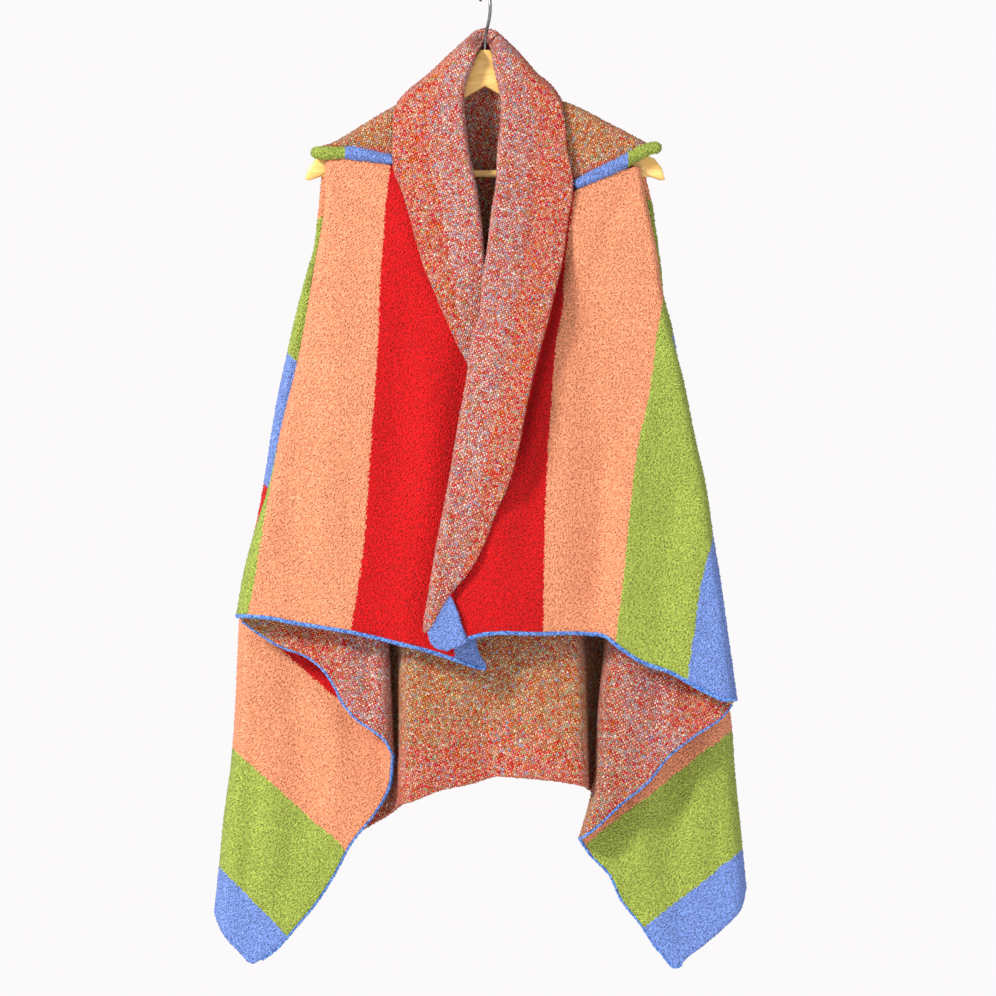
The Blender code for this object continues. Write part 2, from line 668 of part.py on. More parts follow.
# --- blue edging along the short sides ------------------------------------------------------------------
for name, sheet, radius, first, last in (
    ("hem_front_right", FRONT_RIGHT, 2.6, 0, None),
    ("hem_front_left", FRONT_LEFT, 2.6, 0, None),
    ("hem_return_right", RETURN_RIGHT, 1.6, 1, -1),
    ("hem_return_left", RETURN_LEFT, 1.6, 1, -1),
    ("hem_tail_right", TAIL_RIGHT, 1.6, TURN_COLUMNS + 1 + 3, -1),
    ("hem_tail_left", TAIL_LEFT, 1.6, TURN_COLUMNS + 1 + 5, -1),
):
    edging(name, sheet[-1, first:last], sheet[-2, first:last], radius)


# --- hanger ---------------------------------------------------------------------------------------------
def make_hanger():
    curve = bpy.data.curves.new("hanger_body", "CURVE")
    curve.dimensions = "2D"
    curve.fill_mode = "BOTH"
    curve.extrude = WOOD_THICK / 2.0 * MM
    outline = HANGER_OUTLINE + [(-x, drop) for x, drop in HANGER_OUTLINE[-2:0:-1]]
    spline = curve.splines.new("POLY")
    spline.points.add(len(outline) - 1)
    for point, (x, drop) in zip(spline.points, outline):
        point.co = (x * MM, -drop * MM, 0.0, 1.0)
    spline.use_cyclic_u = True
    flat = bpy.data.objects.new("outline", curve)
    flat.rotation_euler = (math.pi / 2.0, 0.0, 0.0)
    garment.objects.link(flat)
    bpy.context.view_layer.update()
    mesh = bpy.data.meshes.new_from_object(flat.evaluated_get(bpy.context.evaluated_depsgraph_get()))
    mesh.transform(flat.matrix_world)
    bpy.data.objects.remove(flat)
    work = bmesh.new()
    work.from_mesh(mesh)
    bmesh.ops.remove_doubles(work, verts=work.verts, dist=1e-6)
    bmesh.ops.recalc_face_normals(work, faces=work.faces)
    work.to_mesh(mesh)
    work.free()
    mesh.name = "hanger_body"
    body = link("hanger_body", mesh, "wood")
    rounding = body.modifiers.new("rounding", "BEVEL")
    rounding.width = WOOD_ROUND * MM
    rounding.segments = 1
    rounding.limit_method = "ANGLE"
    rounding.angle_limit = math.radians(70.0)
    for name, height, radius, length, turn in (
        ("bar_bore", -BAR_DROP, BAR_RADIUS + BORE_GAP, 2 * (BAR_REACH + BORE_GAP), math.pi / 2),
        ("shank_bore", -WOOD_TOP, HOOK_WIRE / 2 + BORE_GAP, 2 * (SHANK_IN_WOOD + BORE_GAP), 0.0),
    ):
        bpy.ops.mesh.primitive_cylinder_add(
            vertices=16,
            radius=radius * MM,
            depth=length * MM,
            location=(0.0, 0.0, height * MM),
            rotation=(0.0, turn, 0.0),
        )
        cutter = bpy.context.object
        cutter.name = name
        cutter.hide_render = True
        cutter.display_type = "WIRE"
        for used in list(cutter.users_collection):
            used.objects.unlink(cutter)
        cutters.objects.link(cutter)
        cut = body.modifiers.new(name, "BOOLEAN")
        cut.operation = "DIFFERENCE"
        cut.object = cutter
    return body


make_hanger()
cord("hanger_bar", [(-BAR_REACH, 0, BAR_DROP), (BAR_REACH, 0, BAR_DROP)], BAR_RADIUS, "wood", facets=2)


def make_hook():
    """Straight shank, a quick bend to one side, and an open loop over the rail."""
    path = [(0.0, WOOD_TOP + SHANK_IN_WOOD), (0.0, 64.0), (1.5, 58.0), (7.0, 51.0)]
    centre_drop = HOOK_RADIUS - HOOK_WIRE / 2.0
    for angle in np.radians(np.linspace(-48.0, 150.0, 12)):
        path.append((HOOK_RADIUS * math.cos(angle), centre_drop - HOOK_RADIUS * math.sin(angle)))
    points = [(w * math.cos(HOOK_TURN), w * math.sin(HOOK_TURN), drop) for w, drop in path]
    return cord("hanger_hook", points, HOOK_WIRE / 2.0, "steel")


make_hook()
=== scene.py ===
"""Knitted poncho vest with a shawl collar, hung on a wooden hanger.

One double-faced knitted blanket: a nubbly looped face in wide colour blocks, and a marl reverse.
Tables are in millimetres: x across, drop below the hook's inside top, y depth (minus is the
front). "right" and "left" are the wearer's.
"""

import math

import bmesh
import bpy
import numpy as np
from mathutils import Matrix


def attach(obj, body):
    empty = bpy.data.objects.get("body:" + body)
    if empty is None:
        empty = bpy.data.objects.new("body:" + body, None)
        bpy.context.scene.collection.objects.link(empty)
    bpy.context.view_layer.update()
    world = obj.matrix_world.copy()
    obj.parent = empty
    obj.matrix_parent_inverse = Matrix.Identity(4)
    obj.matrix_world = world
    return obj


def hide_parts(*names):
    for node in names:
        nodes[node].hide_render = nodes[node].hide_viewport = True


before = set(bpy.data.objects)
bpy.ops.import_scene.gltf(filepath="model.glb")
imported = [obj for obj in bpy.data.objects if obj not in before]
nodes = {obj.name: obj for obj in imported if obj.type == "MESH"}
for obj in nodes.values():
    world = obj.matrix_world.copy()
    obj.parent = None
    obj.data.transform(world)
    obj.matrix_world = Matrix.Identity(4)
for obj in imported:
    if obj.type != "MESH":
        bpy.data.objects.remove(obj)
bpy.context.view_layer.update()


# === Hanger ===================================================================================
# Flat wooden hanger, sawn from one beech board with its edges rounded over, and clear varnished.
# A turned bar sits in a bore between the arm tips; the steel wire hook is bent cold from 4 mm rod
# and pressed into the middle block.
BOARD_THICK = 12.0
BOARD_ROUND = 3.6
BOARD_OUTLINE = [  # half of it: x, drop, from the top of the middle round to the notch below
    (0, 74), (6, 74), (12, 81), (26, 97), (50, 116), (79, 135), (104, 151), (148, 171.5),
    (172, 187), (194, 202), (209, 208), (218, 220), (222, 234), (216, 235), (200, 229),
    (170, 213), (26, 134), (0, 119),
]
BAR_RADIUS = 4.4
BAR_DROP = 226.5
BAR_REACH = 204.0
BAR_FACETS, WIRE_FACETS = 24, 14
WIRE_RADIUS = 2.0
WIRE_SHANK = [  # place in the loop's plane, drop
    (0.0, 92.0), (0.0, 80.0), (0.0, 70.0), (0.0, 65.0), (0.6, 61.0), (2.4, 56.5), (7.0, 51.0),
]
WIRE_LOOP = 25.0
WIRE_LOOP_ENDS = (-48.0, 150.0)  # degrees round it
WIRE_TURN = math.radians(-75.0)  # the loop's plane against the board's
ROD_DOME = [(-0.9, 0.35), (-0.6, 0.75)]  # rings past a rod's end: how far and how wide, in radii
MM = 0.001


def colour(r, g, b):
    """A yarn or varnish colour from its 0 to 255 values, as light."""
    return (*(((v / 255.0 + 0.055) / 1.055) ** 2.4 for v in (r, g, b)), 1.0)


def tint(r, g=None, b=None):
    """What a layer multiplies the shade by; one value alone is the same for all three."""
    return (r, r if g is None else g, r if b is None else b, 1.0)


def node(tree, kind, links=(), **settings):
    """One node; links are (input, where it comes from or its value)."""
    made = tree.nodes.new(kind)
    for key, value in settings.items():
        setattr(made, key, value)
    for key, source in links:
        if isinstance(source, bpy.types.NodeSocket):
            tree.links.new(source, made.inputs[key])
        else:
            made.inputs[key].default_value = source
    return made


def noise(tree, place, scale, detail=2.0, distortion=0.0):
    """The outputs of a soft noise."""
    links = [("Vector", place), ("Scale", scale), ("Detail", detail), ("Distortion", distortion)]
    return node(tree, "ShaderNodeTexNoise", links).outputs


def ramp(tree, fac, stops, steps=False):
    """Colour ramp from (position, colour) stops; with steps, each colour holds to the next stop."""
    made = node(tree, "ShaderNodeValToRGB", [("Fac", fac)])
    band = made.color_ramp
    band.interpolation = "CONSTANT" if steps else "LINEAR"
    while len(band.elements) < len(stops):
        band.elements.new(0.5)
    for element, (place, shade) in zip(band.elements, stops):
        element.position = place
        element.color = shade
    return made.outputs["Color"]


def mixed(tree, share, one, two, way="MIX"):
    """Two colours mixed by a share."""
    links = [("Factor", share), ("A", one), ("B", two)]
    return node(tree, "ShaderNodeMix", links, data_type="RGBA", blend_type=way).outputs["Result"]


def finish_of(name, **sockets):
    """A new finish; gives its material, node tree, Principled shader and place on the object."""
    made = bpy.data.materials.new(name)
    made.use_nodes = True
    tree = made.node_tree
    shader = tree.nodes["Principled BSDF"]
    for key, value in sockets.items():
        shader.inputs[key.replace("_", " ")].default_value = value
    return made, tree, shader, node(tree, "ShaderNodeTexCoord").outputs["Object"]


def dress(tree, shader, shade, height, strength, distance):
    """Gives a shader its colour and its small relief, up to a distance in metres."""
    links = [("Height", height), ("Strength", strength), ("Distance", distance)]
    relief = node(tree, "ShaderNodeBump", links)
    tree.links.new(shade, shader.inputs["Base Color"])
    tree.links.new(relief.outputs["Normal"], shader.inputs["Normal"])


def stretched(tree, place, *scale):
    """A place drawn out differently along each axis."""
    return node(tree, "ShaderNodeMapping", [("Vector", place), ("Scale", scale)]).outputs["Vector"]


def add(name, mesh, slot, *cad):
    """A finished piece: it rides on the one body, and stands for the CAD nodes named."""
    piece = bpy.data.objects.new(name, mesh)
    bpy.context.scene.collection.objects.link(piece)
    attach(piece, "root")
    if cad:
        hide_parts(*cad)
    return piece


def make_wood():
    """Long pale grain along the board, with darker pores, under a clear satin varnish."""
    made, tree, shader, place = finish_of(
        "varnished_beech", Roughness=0.36, Coat_Weight=0.35, Coat_Roughness=0.22
    )
    grain = noise(tree, stretched(tree, place, 14.0, 90.0, 90.0), 1.6, 5.0, 0.7)["Fac"]
    pores = noise(tree, stretched(tree, place, 60.0, 900.0, 900.0), 1.0)["Fac"]
    tone = ramp(tree, grain, [
        (0.30, colour(226, 172, 92)), (0.50, colour(240, 192, 108)), (0.68, colour(250, 208, 128)),
    ])
    dark = ramp(tree, pores, [(0.33, tint(0.72, 0.66, 0.58)), (0.45, tint(1.0))])
    dress(tree, shader, mixed(tree, 0.55, tone, dark, "MULTIPLY"), pores, 0.12, 0.0004)
    return made


def make_steel():
    """Drawn and plated wire, faintly streaked along its length."""
    made, tree, shader, place = finish_of("plated_wire", Metallic=1.0)
    streaks = noise(tree, stretched(tree, place, 700.0, 700.0, 60.0), 1.0)["Fac"]
    shade = ramp(tree, streaks, [(0.3, tint(0.12, 0.12, 0.13)), (0.7, tint(0.28, 0.28, 0.29))])
    rough = node(tree, "ShaderNodeMapRange", [("Value", streaks), ("To Min", 0.22), ("To Max", 0.4)])
    tree.links.new(shade, shader.inputs["Base Color"])
    tree.links.new(rough.outputs["Result"], shader.inputs["Roughness"])
    return made


def closed_mesh(name, points, faces):
    """A smooth closed mesh, its faces turned outwards."""
    mesh = bpy.data.meshes.new(name)
    mesh.from_pydata(points, [], faces)
    work = bmesh.new()
    work.from_mesh(mesh)
    bmesh.ops.recalc_face_normals(work, faces=work.faces)
    work.to_mesh(mesh)
    work.free()
    mesh.shade_smooth()
    return mesh


def make_board():
    """The outline, thickened, with every long edge rounded over."""
    outline = BOARD_OUTLINE + [(-x, drop) for x, drop in BOARD_OUTLINE[-2:0:-1]]
    work = bmesh.new()
    corners = [work.verts.new((x * MM, BOARD_THICK / 2.0 * MM, -drop * MM)) for x, drop in outline]
    face = work.faces.new(corners)
    made = bmesh.ops.extrude_face_region(work, geom=[face])
    moved = [v for v in made["geom"] if isinstance(v, bmesh.types.BMVert)]
    bmesh.ops.translate(work, verts=moved, vec=(0.0, -BOARD_THICK * MM, 0.0))
    bmesh.ops.recalc_face_normals(work, faces=work.faces)
    rims = [e for e in work.edges if abs(e.verts[0].co.y - e.verts[1].co.y) < 1e-6]
    bmesh.ops.bevel(
        work, geom=rims, offset=BOARD_ROUND * MM, segments=4, profile=0.5, affect="EDGES",
        clamp_overlap=True,
    )
    mesh = bpy.data.meshes.new("hanger_board")
    work.to_mesh(mesh)
    work.free()
    mesh.shade_smooth()
    return mesh


def round_rod(name, points, radius, facets):
    """A round rod or cord along points in mm, its ends closed by a small dome."""
    points = np.array(points, float)
    run = np.gradient(points, axis=0)
    run /= np.linalg.norm(run, axis=1, keepdims=True)
    side = np.cross(run[0], (0.0, 0.0, 1.0) if abs(run[0][2]) < 0.9 else (0.0, 1.0, 0.0))
    angles = np.linspace(0.0, 2.0 * math.pi, facets, endpoint=False)
    radii = np.broadcast_to(np.asarray(radius, float), (len(points),))
    stations = [(0, ahead, share) for ahead, share in ROD_DOME]
    stations += [(k, 0.0, 1.0) for k in range(len(points))]
    stations += [(len(points) - 1, -ahead, share) for ahead, share in ROD_DOME[::-1]]
    rings = []
    for k, ahead, share in stations:
        side = side - run[k] * side.dot(run[k])
        side /= np.linalg.norm(side)
        around = np.cos(angles)[:, None] * side + np.sin(angles)[:, None] * np.cross(run[k], side)
        rings.append(points[k] + run[k] * ahead * radii[k] + radii[k] * share * around)
    count = len(rings)
    faces = []
    for i in range(count - 1):
        for j in range(facets):
            k = (j + 1) % facets
            faces.append((i * facets + j, i * facets + k, (i + 1) * facets + k, (i + 1) * facets + j))
    faces.append(tuple(range(facets))[::-1])
    faces.append(tuple(range((count - 1) * facets, count * facets)))
    return closed_mesh(name, (np.array(rings) * (MM, MM, -MM)).reshape(-1, 3), faces)


beech = make_wood()
board = make_board()
board.materials.append(beech)
add("hanger_board", board, "wood", "hanger_body")

bar = [(x, 0.0, BAR_DROP) for x in (-BAR_REACH, 0.0, BAR_REACH)]
bar = round_rod("hanger_round_bar", bar, BAR_RADIUS, BAR_FACETS)
bar.materials.append(beech)
add("hanger_round_bar", bar, "wood", "hanger_bar")

wire = WIRE_SHANK + [
    (WIRE_LOOP * math.cos(a), WIRE_LOOP - WIRE_RADIUS - WIRE_LOOP * math.sin(a))
    for a in np.radians(np.linspace(*WIRE_LOOP_ENDS, 40))
]
wire = [(w * math.cos(WIRE_TURN), w * math.sin(WIRE_TURN), drop) for w, drop in wire]
hook = round_rod("hanger_wire_hook", wire, WIRE_RADIUS, WIRE_FACETS)
hook.materials.append(make_steel())
add("hanger_wire_hook", hook, "steel", "hanger_hook")


# === Back panel ===============================================================================
# The middle of the blanket: a double jacquard knit, looped boucle yarn in colour blocks on the
# outside and a birdseye marl of all four yarns inside. It hangs from the shoulders behind
# everything else, and its middle swings forward in one deep pleat.
CLOTH = 4.0  # thickness of the double knit
STITCH = 5.0  # spacing of the mesh's rows and columns
LAYER_TOP = 10.0  # spacing of the folded layers at the shoulder
LAYER_GROWTH = 0.0335  # how much they open for each mm further down
LAYER_MOST = 34.0
SHOULDER_DROP = 205.0
LAYERS = {"front": -1.5, "return": -0.5, "tail": 0.5, "back": 1.5}
TURN_COLUMNS = 10  # mesh columns round a fold
TURN_LIP = 2.0
RIM_ANGLES = (35.0, 70.0, 110.0, 145.0)  # rings of points round the cloth's edge
BLOCK = 130.0  # width of a colour block
SECOND_BLOCK = 2.0  # place in the blocks of the first line where two meet below the collar
LAST_PLACE = 7.95  # the lowest block ends the blanket
FACE_YARNS = [  # red, peach, green, blue
    (216, 24, 28), (247, 162, 122), (166, 187, 84), (125, 157, 234),
]
MARL_YARNS = [  # deep, light and third yarn on the reverse of the red, peach, green and blue blocks
    [(224, 116, 102), (248, 206, 190), (202, 166, 172)],
    [(210, 104, 88), (242, 188, 162), (184, 158, 140)],
    [(216, 126, 92), (240, 196, 154), (196, 170, 128)],
    [(230, 106, 88), (248, 178, 152), (234, 156, 130)],
]
STRAY_YARNS = [  # the chance from which each is taken, its colour
    (0.0, (166, 160, 194)), (0.3, (240, 218, 196)), (0.55, (180, 170, 112)), (0.8, (212, 70, 58)),
]
THIRD_FROM, STRAY_FROM = 0.72, 0.925  # the chance above which a stitch is of that yarn
NUBS = 110000.0  # loose nubs on a square metre of the loosest cloth
NUB_RADIUS = 1.1
NUB_LEAST, NUB_MOST = (0.7, 0.7, 1.0), (1.1, 1.1, 1.7)  # how it may be drawn out
NUB_SEED = 7
LOOSE_FLAT, LOOSE_FOLDED, LOOSE_EDGE = 0.012, 0.6, 0.8  # how loose the yarn lies
LOOPED, MARL = 0, 1  # the cloth's two finishes
BACK_EDGES = {  # x, drop, down the fold to the tail
    "right": [
        (-199, 221), (-203, 258), (-205, 285), (-209, 313), (-215, 336), (-230, 392), (-242, 444),
        (-257, 514), (-267, 577), (-272, 609), (-285, 676), (-297, 728), (-303, 787), (-305, 829),
        (-309, 908), (-314, 963), (-322, 1022), (-328, 1085), (-334, 1140),
    ],
    "left": [
        (195, 221), (202, 252), (207, 275), (209, 300), (213, 322), (216, 350), (219, 378), (230, 419),
        (241, 493), (253, 567), (266, 641), (277, 715), (287, 790), (297, 864), (303, 902), (308, 968),
        (314, 1027), (318, 1068), (322, 1110),
    ],
}
# The back's pleats, a row for each line down it: where it starts, where it meets the hem, and how
# far it stands forward.
BACK_LINES = [
    # x_top, drop_top, x_hem, drop_hem, forward
    (-199, 221, -334, 1140, 0.0),
    (-184, 217, -288, 1110, 0.0),
    (-164, 207, -235, 1085, 0.0),
    (-142, 194, -170, 1045, 0.0),
    (-124, 182, -122, 1020, 0.05),
    (-108, 171, -106, 1006, 0.40),
    (-94, 158, -103, 1001, 0.92),
    (-76, 145, -90, 998, 1.0),
    (-50, 125, -56, 984, 0.95),
    (-20, 108, -15, 976, 0.84),
    (6, 102, 12, 967, 0.78),
    (34, 113, 50, 969, 0.92),
    (60, 130, 85, 972, 1.0),
    (80, 146, 114, 977, 1.0),
    (94, 158, 125, 980, 0.92),
    (108, 170, 127, 984, 0.40),
    (124, 181, 142, 996, 0.05),
    (146, 195, 180, 1022, 0.0),
    (166, 208, 232, 1056, 0.0),
    (182, 216, 280, 1085, 0.0),
    (195, 221, 322, 1110, 0.0),
]
BACK_COLUMNS = 124
BACK_EDGE_EASE = 4.0  # lines over which the side edge's own form fades
BACK_HALF = 310.0
BACK_FREE = (230.0, 420.0)  # drops over which it comes free of what holds it
BACK_SWELL = (1.6, 120.0, 11)  # how much, how wide, seed
BULGE_DEPTH = -26.0
BULGE_GROWS = (340.0, 720.0)
BACK_SEAM_STARTS = (285.0, 334.0)
# Drops where the blocks meet, from peach and green downwards: at the folds and in the middle.
BACK_BANDS = {
    "right": (279, 448, 609, 770, 936, 1084),
    "middle": (263, 393, 523, 654, 784, 914),
    "left": (256, 424, 589, 753, 914, 1062),
}
BACK_CREASES = [  # depth, half width, points; below nothing is seen of them from the front
    (-7.0, 26.0, [(-232, 420), (-214, 640), (-202, 860), (-205, 1010)]),
    (6.0, 20.0, [(-172, 330), (-166, 560), (-160, 820), (-150, 990)]),
    (-6.0, 24.0, [(232, 470), (216, 680), (207, 880), (210, 1000)]),
    (6.0, 18.0, [(168, 350), (166, 600), (160, 830), (158, 960)]),
    (3.5, 16.0, [(-62, 420), (-60, 640), (-66, 800), (-62, 930)]),
    (-3.0, 20.0, [(28, 380), (44, 600), (58, 760), (60, 900)]),
]


def spacing(drop):
    """Distance between two layers of the hanging cloth."""
    return np.minimum(LAYER_MOST, LAYER_TOP + LAYER_GROWTH * (drop - SHOULDER_DROP))


def half(drop):
    """Radius of the fold between two neighbouring layers."""
    return spacing(drop) / 2.0


def smooth(value, low, high):
    """A soft step from 0 at low to 1 at high."""
    t = np.clip((np.asarray(value, float) - low) / (high - low), 0.0, 1.0)
    return t * t * (3.0 - 2.0 * t)


def unit(vectors):
    """The vectors at length 1."""
    return vectors / (np.linalg.norm(vectors, axis=-1, keepdims=True) + 1e-12)


def lengths_down(line):
    """How far along a line each of its points lies."""
    return np.concatenate([[0.0], np.cumsum(np.linalg.norm(np.diff(line[:, :2], axis=0), axis=1))])


def rounded(rows, step=3.0):
    """A table's points joined by one soft curve, as many close points."""
    points = np.array(rows, float)
    marks = lengths_down(points)
    slopes = np.zeros_like(points)
    secants = np.diff(points, axis=0) / np.diff(marks)[:, None]
    slopes[0], slopes[-1] = secants[0], secants[-1]
    before, after = np.diff(marks)[:-1, None], np.diff(marks)[1:, None]
    slopes[1:-1] = (secants[:-1] * after + secants[1:] * before) / (before + after)
    places = np.linspace(0.0, marks[-1], max(2, int(marks[-1] / step)))
    k = np.clip(np.searchsorted(marks, places, side="right") - 1, 0, len(marks) - 2)
    span = (marks[k + 1] - marks[k])[:, None]
    t = ((places - marks[k]) / span[:, 0])[:, None]
    return (
        (2 * t**3 - 3 * t**2 + 1) * points[k] + (t**3 - 2 * t**2 + t) * span * slopes[k]
        + (3 * t**2 - 2 * t**3) * points[k + 1] + (t**3 - t**2) * span * slopes[k + 1]
    )


def at(line, t):
    """Points at the fractions t of a line's length."""
    marks = lengths_down(line)
    return np.stack([np.interp(t, marks / marks[-1], column) for column in line.T], axis=-1)


def patch(top, bottom, first, last, u_marks, v_marks):
    """Grid of (x, drop) filled in between four edges: rows down, columns across."""
    u, v = np.asarray(u_marks)[None, :, None], np.asarray(v_marks)[:, None, None]
    start, end = at(first, v_marks)[:, None, :], at(last, v_marks)[:, None, :]
    head, foot = at(top, u_marks)[None, :, :], at(bottom, u_marks)[None, :, :]
    corners = (1 - u) * ((1 - v) * first[0] + v * first[-1]) + u * ((1 - v) * last[0] + v * last[-1])
    return (1 - u) * start + u * end + (1 - v) * head + v * foot - corners


def marks_for(*lines):
    """Even fractions, about a mesh spacing apart, for the longest of the lines."""
    return np.linspace(0.0, 1.0, int(max(lengths_down(line)[-1] for line in lines) / STITCH) + 1)


def creased(sheet, creases):
    """Presses soft troughs (depth above 0) and ridges (below 0) into a sheet."""
    flat = sheet[..., (0, 2)]
    for depth, width, points in creases:
        line = rounded(points, 12.0)
        near, share = np.full(flat.shape[:2], 1e9), np.zeros(flat.shape[:2])
        for k, run in enumerate(np.diff(line, axis=0)):
            t = np.clip(((flat - line[k]) @ run) / (run @ run), 0.0, 1.0)
            away = np.linalg.norm(flat - line[k] - t[..., None] * run, axis=-1)
            share = np.where(away < near, (k + t) / (len(line) - 1), share)
            near = np.minimum(away, near)
        fade = smooth(share, 0.0, 0.22) * (1.0 - smooth(share, 0.82, 1.0) * 0.7)
        sheet[..., 1] += depth * np.exp(-((near / width) ** 2)) * fade
    return sheet


def drift(x, drop, size, seed):
    """Slow, uneven swell from -1 to 1, about the given size in mm."""
    pick = np.random.default_rng(seed)
    total = np.zeros(np.broadcast(x, drop).shape)
    for _ in range(7):
        turn, phase = pick.uniform(0.0, 2.0 * math.pi), pick.uniform(0.0, 6.3)
        wave = size * pick.uniform(0.7, 1.5)
        total += np.sin((x * math.cos(turn) + drop * math.sin(turn)) * 2.0 * math.pi / wave + phase)
    return total / 3.5


def draped(x, depth, drop, creases, free, swell):
    """A sheet with its creases, and with a slow swell (how much, how wide, seed) where it is free."""
    sheet = creased(np.stack([x, depth, drop], axis=-1), creases)
    sheet[..., 1] += swell[0] * free * drift(x, drop, *swell[1:])
    return sheet


def place_in(value, meets, first, outer=BLOCK):
    """Place in the colour blocks: whole numbers, counted up from first, where two blocks meet.

    The blocks before the first meeting line and after the last are as wide as outer.
    """
    place = first + (value - meets[0]) / outer
    for k in range(len(meets) - 1):
        inside = first + k + (value - meets[k]) / (meets[k + 1] - meets[k])
        place = np.where(value > meets[k], inside, place)
    return np.where(value > meets[-1], first + len(meets) - 1.0 + (value - meets[-1]) / outer, place)


def add_turn(sheet, band, end, radius=half, amount=lambda drop: 1.0):
    """Bends the cloth on round a fold at its first (0) or last (-1) column, towards the back."""
    if end == 0:
        sheet, band = add_turn(sheet[:, ::-1], band[:, ::-1], -1, radius, amount)
        return sheet[:, ::-1], band[:, ::-1]
    near, far, near_band = sheet[:, -1], sheet[:, -7], band[:, -1]
    outward = np.sign(near[:, 0] - sheet[:, -2, 0])
    r, whole = radius(near[:, 2]), math.pi * amount(near[:, 2])
    down = np.gradient(near_band) / np.gradient(near[:, 2])
    slope = near_band - band[:, -7] - down * (near[:, 2] - far[:, 2])
    slope /= np.abs(near[:, 0] - far[:, 0]) + 1e-6
    columns, bands = [], []
    for k in range(1, TURN_COLUMNS + 1):
        angle = whole * k / TURN_COLUMNS
        x = near[:, 0] + outward * r * np.sin(angle)
        columns.append(np.stack([x, near[:, 1] + r * (1 - np.cos(angle)), near[:, 2]], axis=-1))
        bands.append(near_band + slope * r * angle)
    lip = columns[-1].copy()
    lip[:, 0] += outward * TURN_LIP * np.cos(whole)
    lip[:, 1] += TURN_LIP * np.sin(whole)
    bands.append(bands[-1] + slope * TURN_LIP)
    sheet = np.concatenate([sheet, np.stack([*columns, lip], axis=1)], axis=1)
    return sheet, np.concatenate([band, np.stack(bands, axis=1)], axis=1)


def maths(tree, operation, *values):
    """The result of one sum on numbers."""
    made = node(tree, "ShaderNodeMath", list(enumerate(values)), operation=operation)
    return made.outputs["Value"]


def vector_maths(tree, operation, *values):
    """The result of one sum on vectors."""
    made = node(tree, "ShaderNodeVectorMath", list(enumerate(values)), operation=operation)
    return made.outputs["Vector"]


def make_nub_nodes(finishes, nubs, radius):
    """Geometry nodes: loose nubs of yarn scattered where the cloth is marked as loose."""
    tree = bpy.data.node_groups.new("loose_nubs", "GeometryNodeTree")
    for way in ("INPUT", "OUTPUT"):
        tree.interface.new_socket("Cloth", in_out=way, socket_type="NodeSocketGeometry")
    cloth = node(tree, "NodeGroupInput").outputs["Cloth"]
    join = node(tree, "GeometryNodeJoinGeometry", [("Geometry", cloth)])
    loose = node(tree, "GeometryNodeInputNamedAttribute", [("Name", "loose")]).outputs["Attribute"]
    links = [("Segments", 5), ("Rings", 2), ("Radius", radius * MM)]
    nub = node(tree, "GeometryNodeMeshUVSphere", links)
    spins, sizes = (
        node(tree, "FunctionNodeRandomValue", [("Min", least), ("Max", most)], data_type="FLOAT_VECTOR")
        for least, most in (((0.0,) * 3, (6.28,) * 3), (NUB_LEAST, NUB_MOST))
    )
    for finish in finishes:
        own = node(tree, "GeometryNodeMaterialSelection", [("Material", finish)])
        scatter = node(tree, "GeometryNodeDistributePointsOnFaces", [
            ("Mesh", cloth), ("Selection", own.outputs["Selection"]),
            ("Density", maths(tree, "MULTIPLY", loose, nubs)), ("Seed", NUB_SEED),
        ])
        place = node(tree, "GeometryNodeInstanceOnPoints", [
            ("Points", scatter.outputs["Points"]), ("Instance", nub.outputs["Mesh"]),
            ("Rotation", spins.outputs["Value"]), ("Scale", sizes.outputs["Value"]),
        ])
        real = node(tree, "GeometryNodeRealizeInstances", [("Geometry", place.outputs["Instances"])])
        links = [("Geometry", real.outputs["Geometry"]), ("Material", finish)]
        dye = node(tree, "GeometryNodeSetMaterial", links)
        tree.links.new(dye.outputs["Geometry"], join.inputs["Geometry"])
    node(tree, "NodeGroupOutput", [("Cloth", join.outputs["Geometry"])])
    return tree


def nubbed(mesh, finishes, marks, nubs=NUBS, radius=NUB_RADIUS):
    """The mesh with its finishes and its loose nubs, all made plain.

    The marks are values for each point: how loose the yarn lies, and its place in the blocks.
    """
    for name, values in marks.items():
        mesh.attributes.new(name, "FLOAT", "POINT").data.foreach_set("value", values)
    for finish in finishes:
        mesh.materials.append(finish)
    holder = bpy.data.objects.new(mesh.name, mesh)
    bpy.context.scene.collection.objects.link(holder)
    holder.modifiers.new("nubs", "NODES").node_group = make_nub_nodes(finishes, nubs, radius)
    ready = holder.evaluated_get(bpy.context.evaluated_depsgraph_get())
    plain = bpy.data.meshes.new_from_object(ready)
    plain.name = mesh.name
    bpy.data.objects.remove(holder)
    plain.shade_smooth()
    return plain


